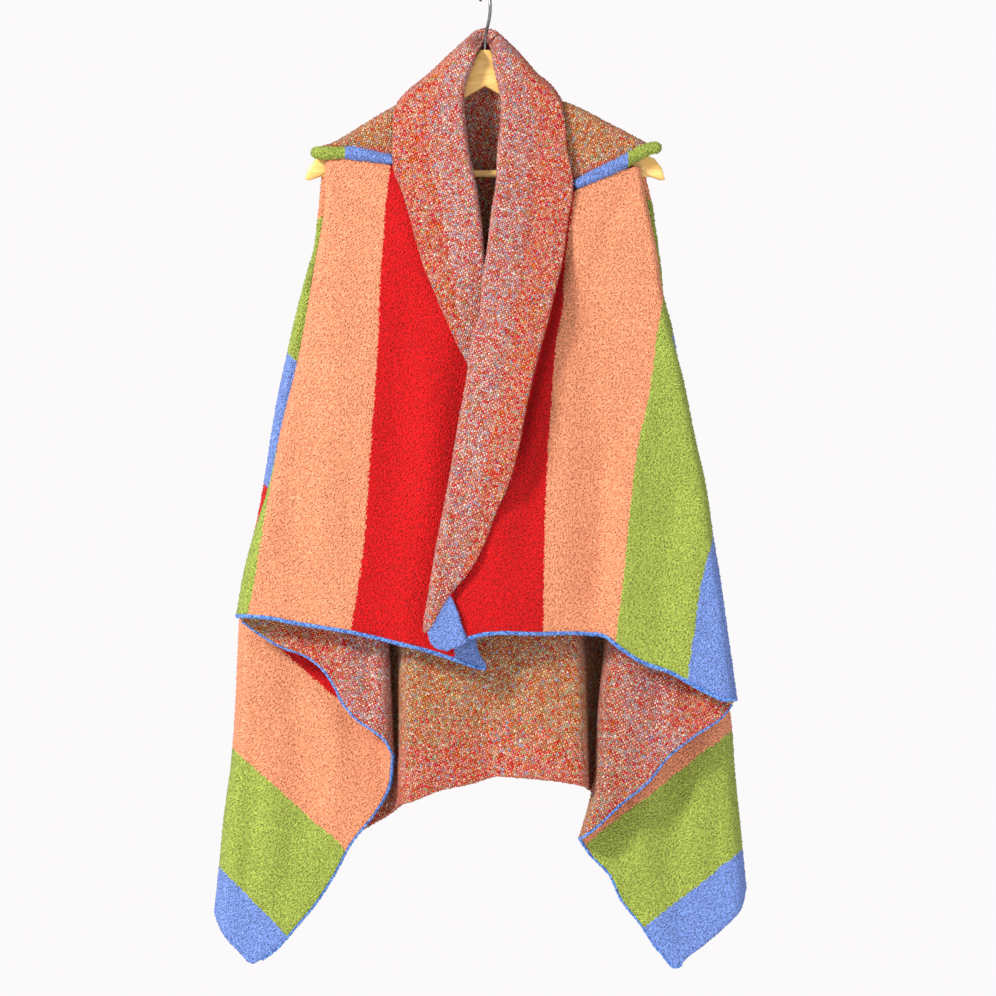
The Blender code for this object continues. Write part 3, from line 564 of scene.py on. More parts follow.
def knit(name, sheet, band, face_towards, rim, slot, *cad):
    """A piece of the blanket: a sheet of middle points in mm, made a wall with round edges.

    The looped face looks to the front where face_towards is below 0, and the marl to the other
    side; rim is the finish that goes round the edge.
    """
    middle = sheet * (MM, MM, -MM)
    rows, columns = sheet.shape[:2]
    across, down = np.gradient(middle, axis=1), np.gradient(middle, axis=0)
    normal = unit(np.cross(across, down))
    if normal[rows // 4, columns // 2, 1] * face_towards < 0.0:
        normal = -normal
    reach = CLOTH / 2.0 * MM
    index = np.arange(rows * columns).reshape(rows, columns)
    loop = np.concatenate([index[0, :-1], index[:-1, -1], index[-1, :0:-1], index[:0:-1, 0]])
    out = np.zeros_like(middle)
    out[0] -= unit(down[0])
    out[-1] += unit(down[-1])
    out[:, 0] -= unit(across[:, 0])
    out[:, -1] += unit(across[:, -1])
    flat, n, e = middle.reshape(-1, 3), normal.reshape(-1, 3), unit(out.reshape(-1, 3))
    points = [flat + n * reach, flat - n * reach]
    for a in np.radians(RIM_ANGLES):
        points.append(flat[loop] + reach * (math.cos(a) * n[loop] + math.sin(a) * e[loop]))
    size, ring = rows * columns, len(loop)
    quads = [index[:-1, :-1], index[1:, :-1], index[1:, 1:], index[:-1, 1:]]
    quads = np.stack(quads, axis=-1).reshape(-1, 4)
    turn = np.cross(middle[1, 0] - middle[0, 0], middle[0, 1] - middle[0, 0])
    way = 1 if (turn * normal[0, 0]).sum() > 0.0 else -1  # the order of corners that looks outwards
    faces = [quads[:, ::way], quads[:, ::-way] + size]
    rings = [2 * size + k * ring + np.arange(ring) for k in range(len(RIM_ANGLES))]
    rings = [loop, *rings, loop + size]
    for one, two in zip(rings[:-1], rings[1:]):
        faces.append(np.stack([one, np.roll(one, -1), np.roll(two, -1), two], axis=-1)[:, ::-way])
    mesh = closed_mesh(name, np.concatenate(points), np.concatenate(faces).tolist())
    slots = np.full(len(mesh.polygons), rim)
    slots[:len(quads)] = LOOPED
    slots[len(quads):2 * len(quads)] = MARL
    mesh.polygons.foreach_set("material_index", slots)
    whole = np.concatenate([np.arange(size), np.arange(size), np.tile(loop, len(RIM_ANGLES))])
    loose = LOOSE_FLAT + LOOSE_FOLDED * smooth(-np.abs(normal[..., 1]), -0.6, -0.3)
    loose[0] = loose[-1] = loose[:, 0] = loose[:, -1] = LOOSE_EDGE
    marks = {"band": np.minimum(band, LAST_PLACE).reshape(-1)[whole], "loose": loose.reshape(-1)[whole]}
    mesh = nubbed(mesh, (looped_face, marl_reverse), marks)
    return add(name, mesh, slot, *cad)


def along_cloth(tree, place, wander_scale, wander_by, slant):
    """Two coordinates in metres over the cloth, on the slant, which run on round its folds."""
    wander = noise(tree, place, wander_scale)["Color"]
    moved = vector_maths(tree, "MULTIPLY_ADD", wander, (wander_by,) * 3, place)
    apart = node(tree, "ShaderNodeSeparateXYZ", [(0, moved)]).outputs
    normal = node(tree, "ShaderNodeNewGeometry").outputs["Normal"]
    facing = node(tree, "ShaderNodeSeparateXYZ", [(0, normal)]).outputs
    ways = []
    for axis in ("X", "Z"):  # where the cloth turns away round a fold, its depth counts too
        way = maths(tree, "SIGN", maths(tree, "MULTIPLY", facing[axis], facing["Y"]))
        tilted = maths(tree, "GREATER_THAN", maths(tree, "ABSOLUTE", facing[axis]), 0.5)
        depth = maths(tree, "MULTIPLY", maths(tree, "MULTIPLY", way, tilted), apart["Y"])
        ways.append(maths(tree, "SUBTRACT", apart[axis], depth))
    flat = node(tree, "ShaderNodeCombineXYZ", [("X", ways[0]), ("Y", ways[1])]).outputs["Vector"]
    links = [("Vector", flat), ("Angle", math.radians(slant))]
    return node(tree, "ShaderNodeVectorRotate", links, rotation_type="Z_AXIS").outputs["Vector"]


def block_at(tree, jog, by, back):
    """Place in the cycle of four blocks, 0 to 1, moved by a jog of each stitch."""
    band = node(tree, "ShaderNodeAttribute", attribute_name="band").outputs["Fac"]
    moved = maths(tree, "SUBTRACT", maths(tree, "MULTIPLY_ADD", jog, by, band), back)
    return maths(tree, "DIVIDE", maths(tree, "FLOORED_MODULO", moved, 4.0), 4.0)


def in_blocks(tree, place, yarns):
    """The yarn's colour through the four blocks."""
    return ramp(tree, place, [(k / 4.0, colour(*yarn)) for k, yarn in enumerate(yarns)], steps=True)


def layered(tree, shade, *layers):
    """The shade with each layer multiplied in."""
    for layer in layers:
        shade = mixed(tree, 1.0, shade, layer, "MULTIPLY")
    return shade


def make_looped_face():
    """Looped boucle yarn: small slanting nubs side by side, with painted shade where they meet and a
    painted highlight on their tops.
    """
    made, tree, shader, place = finish_of(
        "looped_face", Roughness=0.95, Sheen_Weight=0.1, Sheen_Roughness=0.5, Specular_IOR_Level=0.06
    )
    flat = along_cloth(tree, place, 110.0, 0.005, -38.0)
    drawn = vector_maths(tree, "MULTIPLY", flat, (0.7, 1.0, 1.0))
    links = [("Vector", drawn), ("Scale", 560.0)]
    nubs = node(tree, "ShaderNodeTexVoronoi", links, voronoi_dimensions="2D").outputs
    each = node(tree, "ShaderNodeSeparateColor", [("Color", nubs["Color"])]).outputs
    lumps = noise(tree, drawn, 540.0, 1.0)["Fac"]
    yarn = in_blocks(tree, block_at(tree, each["Red"], 0.022, 0.011), FACE_YARNS)
    # painted shade in the hollows between the nubs and a painted highlight on their tops, following the
    # lumps of the relief
    depth = ramp(tree, lumps, [
        (0.3, tint(0.45, 0.38, 0.36)), (0.42, tint(0.76, 0.7, 0.68)), (0.5, tint(0.91, 0.89, 0.88)),
        (0.62, tint(1.16)),
    ])
    uneven = ramp(tree, each["Green"], [(0.0, tint(0.94, 0.93, 0.92)), (1.0, tint(1.07))])
    fibres, cloud = noise(tree, place, 900.0)["Fac"], noise(tree, place, 22.0, 3.0)["Fac"]
    fuzz = ramp(tree, fibres, [(0.32, tint(0.88, 0.86, 0.85)), (0.68, tint(1.08))])
    patchy = ramp(tree, cloud, [(0.3, tint(0.95, 0.94, 0.94)), (0.7, tint(1.03))])
    height = maths(tree, "MULTIPLY_ADD", nubs["Distance"], -0.3, lumps)
    dress(tree, shader, layered(tree, yarn, depth, uneven, fuzz, patchy), height, 1.0, 0.004)
    return made


def make_marl():
    """Birdseye reverse: small stitches on the slant, each of one of the block's yarns or a stray."""
    made, tree, shader, place = finish_of(
        "marl_reverse", Roughness=0.92, Sheen_Weight=0.08, Sheen_Roughness=0.5, Specular_IOR_Level=0.06
    )
    flat = along_cloth(tree, place, 210.0, 0.0046, 17.0)
    stitches = vector_maths(tree, "MULTIPLY", flat, (400.0, 400.0, 0.0))
    apart = node(tree, "ShaderNodeSeparateXYZ", [(0, stitches)]).outputs
    waves = [maths(tree, "SINE", maths(tree, "MULTIPLY", apart[axis], math.pi)) for axis in ("X", "Y")]
    birdseye = maths(tree, "MULTIPLY", *waves)
    raised = maths(tree, "ABSOLUTE", birdseye)
    cell = vector_maths(tree, "FLOOR", stitches)
    chance = node(tree, "ShaderNodeTexWhiteNoise", [("Vector", cell)], noise_dimensions="2D").outputs
    each = node(tree, "ShaderNodeSeparateColor", [("Color", chance["Color"])]).outputs

    spread = maths(tree, "MULTIPLY_ADD", noise(tree, place, 30.0, 5.0)["Fac"], 0.5, each["Blue"])
    block = block_at(tree, spread, 0.55, 0.41)
    deep, light, third = (in_blocks(tree, block, yarns) for yarns in zip(*MARL_YARNS))
    strays = [(share, colour(*yarn)) for share, yarn in STRAY_YARNS]
    strays = ramp(tree, each["Green"], strays, steps=True)
    is_light = maths(tree, "GREATER_THAN", maths(tree, "MULTIPLY_ADD", each["Red"], 1.6, birdseye), 0.9)
    shade = mixed(tree, is_light, deep, light)
    shade = mixed(tree, maths(tree, "GREATER_THAN", chance["Value"], THIRD_FROM), shade, third)
    shade = mixed(tree, maths(tree, "GREATER_THAN", chance["Value"], STRAY_FROM), shade, strays)
    varied = node(tree, "ShaderNodeHueSaturation", [("Color", shade)])
    for name, source, low, high in (
        ("Hue", "Green", 0.475, 0.525), ("Value", "Blue", 0.74, 1.16), ("Saturation", "Red", 1.2, 0.85),
    ):
        links = [("Value", each[source]), ("To Min", low), ("To Max", high)]
        spread = node(tree, "ShaderNodeMapRange", links)
        tree.links.new(spread.outputs["Result"], varied.inputs[name])

    fibres = noise(tree, place, 850.0)["Fac"]
    # painted shade in the gaps between the stitches and a painted highlight on their crowns, following the
    # birdseye relief
    depth = ramp(tree, raised, [
        (0.0, tint(0.3, 0.23, 0.22)), (0.22, tint(0.74, 0.67, 0.65)), (0.5, tint(1.07)), (0.9, tint(1.17)),
    ])
    fuzz = ramp(tree, fibres, [(0.32, tint(0.84, 0.83, 0.82)), (0.68, tint(1.1))])
    height = maths(tree, "MULTIPLY_ADD", raised, 1.2, fibres)
    dress(tree, shader, layered(tree, varied.outputs["Color"], depth, fuzz), height, 0.8, 0.0024)
    return made


def back_points():
    """Across, depth and drop of the pleated middle points, the side edges on the folds."""
    edges = [rounded(BACK_EDGES[side]) for side in ("right", "left")]
    v_marks = marks_for(*edges)
    edges = [at(edge, v_marks) for edge in edges]
    lines = np.array(BACK_LINES, float)
    wide = np.linspace(0.0, len(lines) - 1.0, BACK_COLUMNS)
    lines = np.stack([np.interp(wide, np.arange(len(lines)), column) for column in lines.T], axis=-1)
    forward = np.convolve(np.pad(lines[:, 4], 3, mode="edge"), np.ones(7) / 7.0, mode="valid")
    share = 1.0 - wide / wide[-1]
    v = sum(
        s[None, :] * ((edge[:, 1] - edge[0, 1]) / (edge[-1, 1] - edge[0, 1]))[:, None]
        for edge, s in zip(edges, (share, 1.0 - share))
    )
    x = lines[:, 0] + (lines[:, 2] - lines[:, 0]) * v
    drop = lines[:, 1] + (lines[:, 3] - lines[:, 1]) * v
    for end, side, edge, from_edge in ((0, 1, edges[0], wide), (-1, -1, edges[1], wide[-1] - wide)):
        room = (half(edge[:, 1]) + TURN_LIP) * smooth(edge[:, 1], *BACK_SEAM_STARTS) * side
        own = edge[:, 0] + room - lines[end, 0] - (lines[end, 2] - lines[end, 0]) * v[:, end]
        x += own[:, None] * np.clip(1.0 - from_edge / BACK_EDGE_EASE, 0.0, 1.0)
    rear = LAYERS["back"] * spacing(drop)
    return x, rear + (BULGE_DEPTH - rear) * forward * smooth(drop, *BULGE_GROWS), drop


def back_band(x, drop):
    """Place in the colour blocks, whose lines run from the middle out to both folds."""
    share = np.clip(np.abs(x) / BACK_HALF, 0.0, 1.0) ** 1.7
    right, middle, left = (np.array(drops, float)[:, None, None] for drops in BACK_BANDS.values())
    meets = np.where(x < 0.0, right, left) * share + middle * (1.0 - share)
    return place_in(drop, meets, SECOND_BLOCK)


looped_face = make_looped_face()
marl_reverse = make_marl()
x, depth, drop = back_points()
sheet = draped(x, depth, drop, BACK_CREASES, smooth(drop, *BACK_FREE), BACK_SWELL)
back = knit(
    "back_cloth", sheet, back_band(x, drop), 1.0, MARL,
    "marl", "back_panel", "back_pleats", "back_pleats_foot", "back_side_right", "back_side_left",
)


# === Tails ====================================================================================
# The blanket's two lower corners. Each is folded forward again behind the side return, so its
# looped colour blocks show below the return, running down to a blunt corner.
RETURN_INNERS = {
    "right": [
        (-184, 345), (-172, 432), (-156, 530), (-141, 629), (-129, 727), (-120, 813), (-117, 875),
        (-114, 940),
    ],
    "left": [
        (192, 383), (183, 506), (171, 604), (160, 703), (150, 801), (140, 901), (136, 975),
        (127, 1014), (118, 1044),
    ],
}
TAIL_HEMS = {
    "right": [
        (-334, 1140), (-323, 1165), (-304, 1186), (-288, 1200), (-272, 1192), (-258, 1181),
        (-235, 1155), (-210, 1125), (-189, 1092), (-168, 1053), (-137, 1013), (-120, 984), (-114, 942),
    ],
    "left": [
        (322, 1110), (316, 1134), (297, 1154), (271, 1177), (250, 1193), (235, 1205), (223, 1192),
        (214, 1182), (194, 1152), (171, 1123), (155, 1090), (132, 1066), (118, 1046),
    ],
}
TAILS = {  # the fold's top row in the back's edge, the blocks' drops there, and how they slope
    "right": (4, BACK_BANDS["right"], (0.86, 0.86, 0.86, 0.88, 0.90, 1.0)),
    "left": (6, BACK_BANDS["left"], (-0.78, -0.78, -0.78, -0.78, -0.78, -0.80)),
}
TAIL_RELEASED = (0.9, 0.985)  # shares of its length over which the inner edge comes out of the fold
TAIL_FREE = (500.0, 800.0)
TAIL_SWELLS = {"right": (1.8, 90.0, 21), "left": (1.8, 90.0, 22)}
TAIL_CREASES = {
    "right": [
        (5.0, 20.0, [(-246, 800), (-232, 900), (-226, 1010), (-244, 1130)]),
        (-4.5, 16.0, [(-196, 870), (-182, 960), (-196, 1060)]),
        (3.5, 12.0, [(-292, 900), (-290, 1010), (-296, 1110)]),
        (-3.0, 14.0, [(-268, 940), (-262, 1040), (-272, 1150)]),
    ],
    "left": [
        (5.5, 18.0, [(262, 820), (246, 930), (232, 1040), (236, 1150)]),
        (-4.5, 15.0, [(200, 960), (190, 1040), (204, 1120)]),
        (3.5, 13.0, [(296, 880), (290, 990), (284, 1100)]),
        (-3.0, 12.0, [(172, 1000), (170, 1060), (184, 1110)]),
    ],
}
INWARDS = {"right": 1.0, "left": -1.0}  # the way across from each side to the middle


def share_across(grid):
    """How far across its own row each point of a grid lies, 0 to 1."""
    x = grid[..., 0]
    return (x - x[:, :1]) / (x[:, -1:] - x[:, :1])


def half_and_lip(drop):
    """What a fold and its lip take up beside a layer."""
    return half(drop) + TURN_LIP


def hangs_free(span, drop, low, high):
    """How freely a flap moves: less towards its top and the folds on its two sides."""
    return smooth(drop, low, high) * np.sin(math.pi * np.clip(span, 0.0, 1.0))


def tail_band(side, fold, x, drop):
    """Blocks slope across the tail from where they meet its outer fold."""
    _, meets, slopes = TAILS[side]
    starts = [np.interp(m, fold[:, 1], fold[:, 0]) for m in meets]
    return place_in(drop, [m + s * (x - f) for m, s, f in zip(meets, slopes, starts)], SECOND_BLOCK)


def ended_at(sheet, band, hem):
    """Lets the lowest rows down or takes them up, so that the last one follows the hem's line."""
    sheet, order = sheet.copy(), np.argsort(hem[:, 0])
    off = np.interp(sheet[-1, :, 0], hem[order, 0], hem[order, 1]) - sheet[-1, :, 2]
    tall = sheet[-1, :, 2] - sheet[0, :, 2]
    share = smooth((sheet[..., 2] - sheet[0, :, 2]) / tall, 0.55, 1.0)
    sheet[..., 2] += off * share
    return sheet, band + off * share * np.gradient(band, axis=0) / np.gradient(sheet[..., 2], axis=0)


TAIL_SHEETS = {}
for side, flat, area in (("right", (0.45, 0.87), 0.135), ("left", (0.39, 0.83), 0.118)):
    fold = rounded(BACK_EDGES[side][TAILS[side][0]:])
    inner, hem = rounded(RETURN_INNERS[side]), rounded(TAIL_HEMS[side])
    v_marks = marks_for(fold)
    grid = patch(np.array([fold[0], inner[0]]), hem, fold, inner, marks_for(hem), v_marks)
    span = share_across(grid)
    x, drop = grid[..., 0], grid[..., 1]
    inset = half_and_lip(drop[:, -1:]) * (1.0 - smooth(v_marks, *TAIL_RELEASED))[:, None]
    x += INWARDS[side] * (half(drop[:, :1]) * (1 - span) - inset * span)
    free = hangs_free(span, drop, *TAIL_FREE)
    depth = LAYERS["tail"] * spacing(drop)
    sheet = draped(x, depth, drop, TAIL_CREASES[side], free, TAIL_SWELLS[side])
    sheet, band = add_turn(sheet, tail_band(side, fold, x, drop), 0)
    # Behind the fold's outermost line the blocks run level.
    rounding = sheet[:, :TURN_COLUMNS + 1].copy()
    rounding[:, :TURN_COLUMNS // 2 + 1, 0] = rounding[:, TURN_COLUMNS // 2 + 1, None, 0]
    band[:, :TURN_COLUMNS + 1] = tail_band(side, fold, rounding[..., 0], rounding[..., 2])
    sheet, band = ended_at(sheet, band, hem)
    TAIL_SHEETS[side] = sheet
    cad = [name for name in nodes if name.startswith(f"tail_{side}")]
    tail = knit(f"tail_{side}_cloth", sheet, band, -1.0, LOOPED, "face_green", *cad)


# === Side returns =============================================================================
# Between each front and its tail the blanket is folded back, marl to the front. Only its lower
# end shows, below the front's hem, as a flap with a hollow down its inner edge.
RETURN_HEMS = {
    "right": [
        (-303, 772), (-279, 790), (-251, 807), (-216, 821), (-197, 837), (-184, 856), (-173, 878),
        (-154, 899), (-138, 910), (-122, 923), (-114, 940),
    ],
    "left": [
        (307, 872), (290, 894), (257, 917), (224, 943), (200, 973), (165, 1002), (132, 1033),
        (118, 1044),
    ],
}
RETURN_STARTS = {"right": 345.0, "left": 383.0}
RETURN_OUTER_PLACE = {"right": 2.3, "left": 3.0}  # in the blocks, along the fold to the front
RETURN_INSET = 3.0
RETURN_RELEASED = (0.955, 0.995)
RETURN_FREE = (480.0, 700.0)
RETURN_SWELLS = {"right": (1.5, 80.0, 31), "left": (1.5, 80.0, 32)}
RETURN_LIP_BACK = 3.0  # how far its lip goes behind the tail's corner
FRONT_FOLDS = {
    "right": [
        (-194, 211), (-197, 283), (-206, 333), (-216, 393), (-227, 453), (-238, 498), (-248, 539),
        (-263, 610), (-283, 675), (-294, 718), (-303, 768),
    ],
    "left": [
        (189, 221), (193, 244), (200, 277), (210, 327), (216, 371), (226, 420), (242, 482), (256, 552),
        (269, 609), (278, 673), (287, 726), (296, 792), (307, 870),
    ],
}
RETURN_CREASES = {
    "right": [
        (5.0, 15.0, [(-236, 640), (-226, 740), (-214, 815)]),
        (-4.0, 12.0, [(-196, 650), (-182, 760), (-170, 870)]),
        (4.0, 10.0, [(-160, 700), (-150, 800), (-142, 900)]),
    ],
    "left": [
        (5.5, 16.0, [(206, 720), (212, 840), (214, 950)]),
        (-4.5, 13.0, [(176, 700), (172, 850), (176, 990)]),
        (4.5, 14.0, [(252, 740), (256, 830), (250, 910)]),
        (-3.5, 12.0, [(282, 790), (284, 850), (276, 900)]),
    ],
}

RETURN_SHEETS = {}
for side, flat, area in (("right", (0.31, 0.66), 0.071), ("left", (0.28, 0.69), 0.079)):
    fold, back_edge = rounded(FRONT_FOLDS[side]), rounded(BACK_EDGES[side])
    fold = fold[fold[:, 1] >= RETURN_STARTS[side]]
    inner, hem = rounded(RETURN_INNERS[side]), rounded(RETURN_HEMS[side])
    v_marks = marks_for(inner)
    grid = patch(np.array([fold[0], inner[0]]), hem, fold, inner, marks_for(hem), v_marks)
    span = share_across(grid)
    x, drop = grid[..., 0], grid[..., 1]
    held = (1.0 - smooth(v_marks, *RETURN_RELEASED))[:, None]
    inset = RETURN_INSET + (half_and_lip(drop[:, :1]) - RETURN_INSET) * held
    x += INWARDS[side] * (inset * (1 - span) - half(drop[:, -1:]) * span)
    band = RETURN_OUTER_PLACE[side] * (1.0 - span) + tail_band(side, back_edge, x, drop) * span
    free = hangs_free(span, drop, *RETURN_FREE)
    depth = LAYERS["return"] * spacing(drop)
    sheet = draped(x, depth, drop, RETURN_CREASES[side], free, RETURN_SWELLS[side])
    sheet, band = add_turn(sheet, band, -1)
    turned = sheet.shape[1] - TURN_COLUMNS // 2 - 1  # from this column on it is round the fold
    sheet, band = (
        np.concatenate([own[:, :turned], tails[:, turned:]], axis=1)
        for own, tails in zip(*(ended_at(sheet, band, line) for line in (hem, rounded(TAIL_HEMS[side]))))
    )
    band[:, turned:] = tail_band(side, back_edge, sheet[:, turned:, 0], sheet[:, turned:, 2])
    sheet[:, -2:, 1] += RETURN_LIP_BACK * smooth(v_marks, 0.86, 0.94)[:, None]
    RETURN_SHEETS[side] = sheet
    flap = knit(f"side_return_{side}_cloth", sheet, band, 1.0, MARL, "marl", f"side_return_{side}")


# === Fronts ===================================================================================
# The two ends of the blanket, looped face out, with their colour blocks running down. The right
# one lies against the body; the left one laps over it from the waist down, and its inner edge
# stands a finger's width in front.
FRONT_INNERS = {
    "right": [
        (-29, 225), (-17, 287), (-9, 368), (-4, 420), (0, 506), (-2, 629), (-9, 735), (-14, 785),
        (-10, 812), (1, 832),
    ],
    "left": [
        (30, 248), (24, 277), (19, 324), (14, 360), (10, 407), (2, 430), (-4, 482), (-15, 541),
        (-25, 603), (-34, 666), (-36, 727), (-30, 770), (-20, 794),
    ],
}
FRONT_TOPS = {
    "right": [(-194, 211), (-172, 210), (-141, 214), (-109, 221), (-68, 225), (-29, 225)],
    "left": [(30, 248), (68, 255), (106, 253), (141, 237), (175, 224), (189, 221)],
}
FRONT_HEMS = {
    "right": [
        (-303, 768), (-278, 770), (-246, 776), (-199, 783), (-164, 789), (-116, 800), (-70, 811),
        (-35, 822), (-10, 830), (1, 832),
    ],
    "left": [
        (-20, 794), (-5, 790), (16, 788), (67, 789), (130, 789), (155, 792), (178, 808), (200, 822),
        (246, 839), (275, 855), (307, 870),
    ],
}
FRONT_JOINS = {"right": 300.0, "left": 338.0}  # where the fold to the return is whole
FRONT_TURN_LEAST = 0.35  # how much of the fold there is above it
FRONT_FREE = (240.0, 420.0)
FRONT_SWELLS = {"right": (1.4, 95.0, 41), "left": (1.4, 95.0, 42)}
OVERLAP_LIFT = 26.0
OVERLAP_DROPS, OVERLAP_ENDS = (270.0, 400.0), (15.0, 130.0)
# Lines where blocks meet, from the front edge out: blue and red, red and peach, and so on.
FRONT_BANDS = {
    "right": [
        [(6, 200), (8, 500), (0, 700), (-35, 790), (-37, 840)],
        [
            (-114, 200), (-122, 269), (-125, 309), (-129, 360), (-131, 420), (-141, 568), (-151, 702),
            (-158, 749), (-165, 800), (-168, 840),
        ],
        [(-252, 200), (-255, 420), (-263, 610), (-272, 667), (-279, 710), (-291, 775)],
        [(-385, 200), (-400, 775)],
    ],
    "left": [
        [(8, 200), (-4, 400), (-52, 800), (-54, 880)],
        [(112, 240), (100, 324), (95, 396), (88, 432), (81, 507), (74, 633), (71, 790), (70, 880)],
        [
            (235, 220), (226, 340), (212, 420), (203, 490), (188, 558), (180, 619), (174, 679),
            (168, 740), (160, 801), (158, 880),
        ],
        [
            (360, 220), (330, 540), (293, 640), (277, 683), (262, 740), (256, 785), (248, 850),
            (247, 880),
        ],
        [(490, 220), (440, 560), (390, 880)],
    ],
}
FRONT_CREASES = {
    "right": [
        (3.5, 22.0, [(-222, 330), (-232, 470), (-236, 620), (-244, 760)]),
        (-3.0, 20.0, [(-178, 300), (-186, 460), (-192, 640), (-196, 775)]),
        (4.5, 24.0, [(-98, 330), (-104, 470), (-118, 640), (-124, 790)]),
        (-3.5, 22.0, [(-56, 420), (-62, 560), (-76, 700), (-80, 805)]),
        (4.0, 16.0, [(-28, 400), (-22, 520), (-26, 640)]),
        (3.0, 10.0, [(-190, 236), (-150, 262), (-112, 300)]),
    ],
    "left": [
        (6.5, 15.0, [(148, 520), (144, 620), (140, 710), (134, 790)]),
        (-4.5, 18.0, [(110, 420), (104, 540), (98, 660), (98, 785)]),
        (-5.0, 15.0, [(206, 470), (188, 560), (176, 680), (166, 800)]),
        (4.5, 16.0, [(236, 560), (226, 680), (214, 800), (214, 830)]),
        (-4.0, 12.0, [(262, 620), (256, 720), (250, 830)]),
        (4.0, 18.0, [(56, 560), (48, 660), (36, 760)]),
        (3.0, 11.0, [(186, 240), (160, 275), (142, 330)]),
        (13.0, 9.0, [(104, 290), (92, 350), (78, 410), (64, 465), (48, 530), (36, 590)]),
    ],
}


def front_depth(side, x, drop):
    """How far forward a front lies; the left one is lifted where it laps over the right."""
    lies = LAYERS["front"] * spacing(drop)
    if side == "left":
        lies = lies - OVERLAP_LIFT * smooth(drop, *OVERLAP_DROPS) * (1.0 - smooth(x, *OVERLAP_ENDS))
    return lies


def front_band(side, x, drop):
    """Place in the blocks across a front, counted from blue and red at the front edge."""
    lines = [rounded(line, 8.0) for line in FRONT_BANDS[side]]
    meets = [-INWARDS[side] * np.interp(drop, line[:, 1], line[:, 0]) for line in lines]
    return place_in(-INWARDS[side] * x, meets, 0.0, meets[1] - meets[0])


FRONT_SHEETS = {}
for side, flat, area in (("right", (0.35, 0.61), 0.150), ("left", (0.39, 0.66), 0.169)):
    outer, inner = rounded(FRONT_FOLDS[side]), rounded(FRONT_INNERS[side])
    first, last = (outer, inner) if side == "right" else (inner, outer)
    head, hem = rounded(FRONT_TOPS[side]), rounded(FRONT_HEMS[side])
    grid = patch(head, hem, first, last, marks_for(hem), marks_for(first, last))
    span = share_across(grid)
    x, drop = grid[..., 0], grid[..., 1]
    end, near = (0, 1 - span) if side == "right" else (-1, span)  # the fold's column, nearness to it
    x += INWARDS[side] * half(drop[:, end, None]) * near
    band, free = front_band(side, x, drop), smooth(drop, *FRONT_FREE)
    sheet = draped(x, front_depth(side, x, drop), drop, FRONT_CREASES[side], free, FRONT_SWELLS[side])
    sheet, band = add_turn(sheet, band, end, amount=lambda at_drop: FRONT_TURN_LEAST + (
        (1.0 - FRONT_TURN_LEAST) * smooth(at_drop, FRONT_JOINS[side] - 70.0, FRONT_JOINS[side])
    ))
    FRONT_SHEETS[side] = sheet
    front = knit(f"front_{side}_cloth", sheet, band, -1.0, LOOPED, "face_peach", f"front_{side}")


# === Yokes and armhole edges ==================================================================
# Over each hanger arm the blanket lies marl side out, above the slit cut for the wearer's arm.
# The slit's upper edge rolls outward by itself into a fat looped roll, blue and then green.
YOKES = {  # x, drop of the ridge, of the front edge and of the back edge
    "right": [
        (-198, 192, 196, 219), (-188, 189, 195, 216), (-172, 180, 194, 207), (-148, 165, 197, 195),
        (-125, 151, 201, 180), (-107, 141, 203, 167),
    ],
    "left": [
        (94, 136.5, 240, 156), (106, 141, 236, 165), (121, 147.5, 229, 176), (145, 160.5, 218, 192),
        (170, 173, 206, 208), (186, 182, 197, 216), (197, 188.5, 195, 220),
    ],
}
YOKE_RADIUS = 12.0
YOKE_ROWS = (12, 15, 5)  # down the front, over the arm, down the back
YOKE_SWELL = (0.7, 60.0, 51)
ROLL_DEPTH = -16.0
ROLL_RADIUS = 7.8
ROLL_REACH = {"right": 9.0, "left": 13.0}
ROLL_END_RISES = {"right": 2.0, "left": 7.0}
ROLL_STARTS = 115.0
ROLL_TURNS_GREEN = {"right": 172.0, "left": 176.0}
ROLL_POINTS, ROLL_FACETS = 60, 20
ARMHOLE_BACK = {  # x, drop of the back's rolled side edge
    "right": [
        (-192, 208), (-196, 232), (-198.5, 262), (-201.5, 285), (-205, 318), (-212, 345), (-222, 380),
    ],
    "left": [
        (187, 214), (194, 238), (200, 262), (205, 296), (209.5, 330), (214, 362), (216, 392),
    ],
}
EDGE_DEPTHS = ((190, 320, 390), (1.0, 5.0, 13.0))  # at drops, how far back it runs
EDGE_RADII = ((190, 215, 260, 340, 390), (3.0, 4.8, 5.6, 6.0, 4.0))
EDGE_TURNS_GREEN = {"right": 281.0, "left": 258.0}
PEACH, GREEN, BLUE = 1.5, 2.5, 3.5  # the middle of each block


def looped_rod(name, points, radius, colours, slot, cad):
    """A rolled edge of the cloth, looped face out; colours gives the place in the blocks."""
    mesh = round_rod(name, points, radius, ROLL_FACETS)
    places = np.abs([point.co for point in mesh.vertices]) / MM
    mesh = nubbed(mesh, [looped_face], {"band": colours(places), "loose": np.ones(len(places))})
    return add(name, mesh, slot, cad)


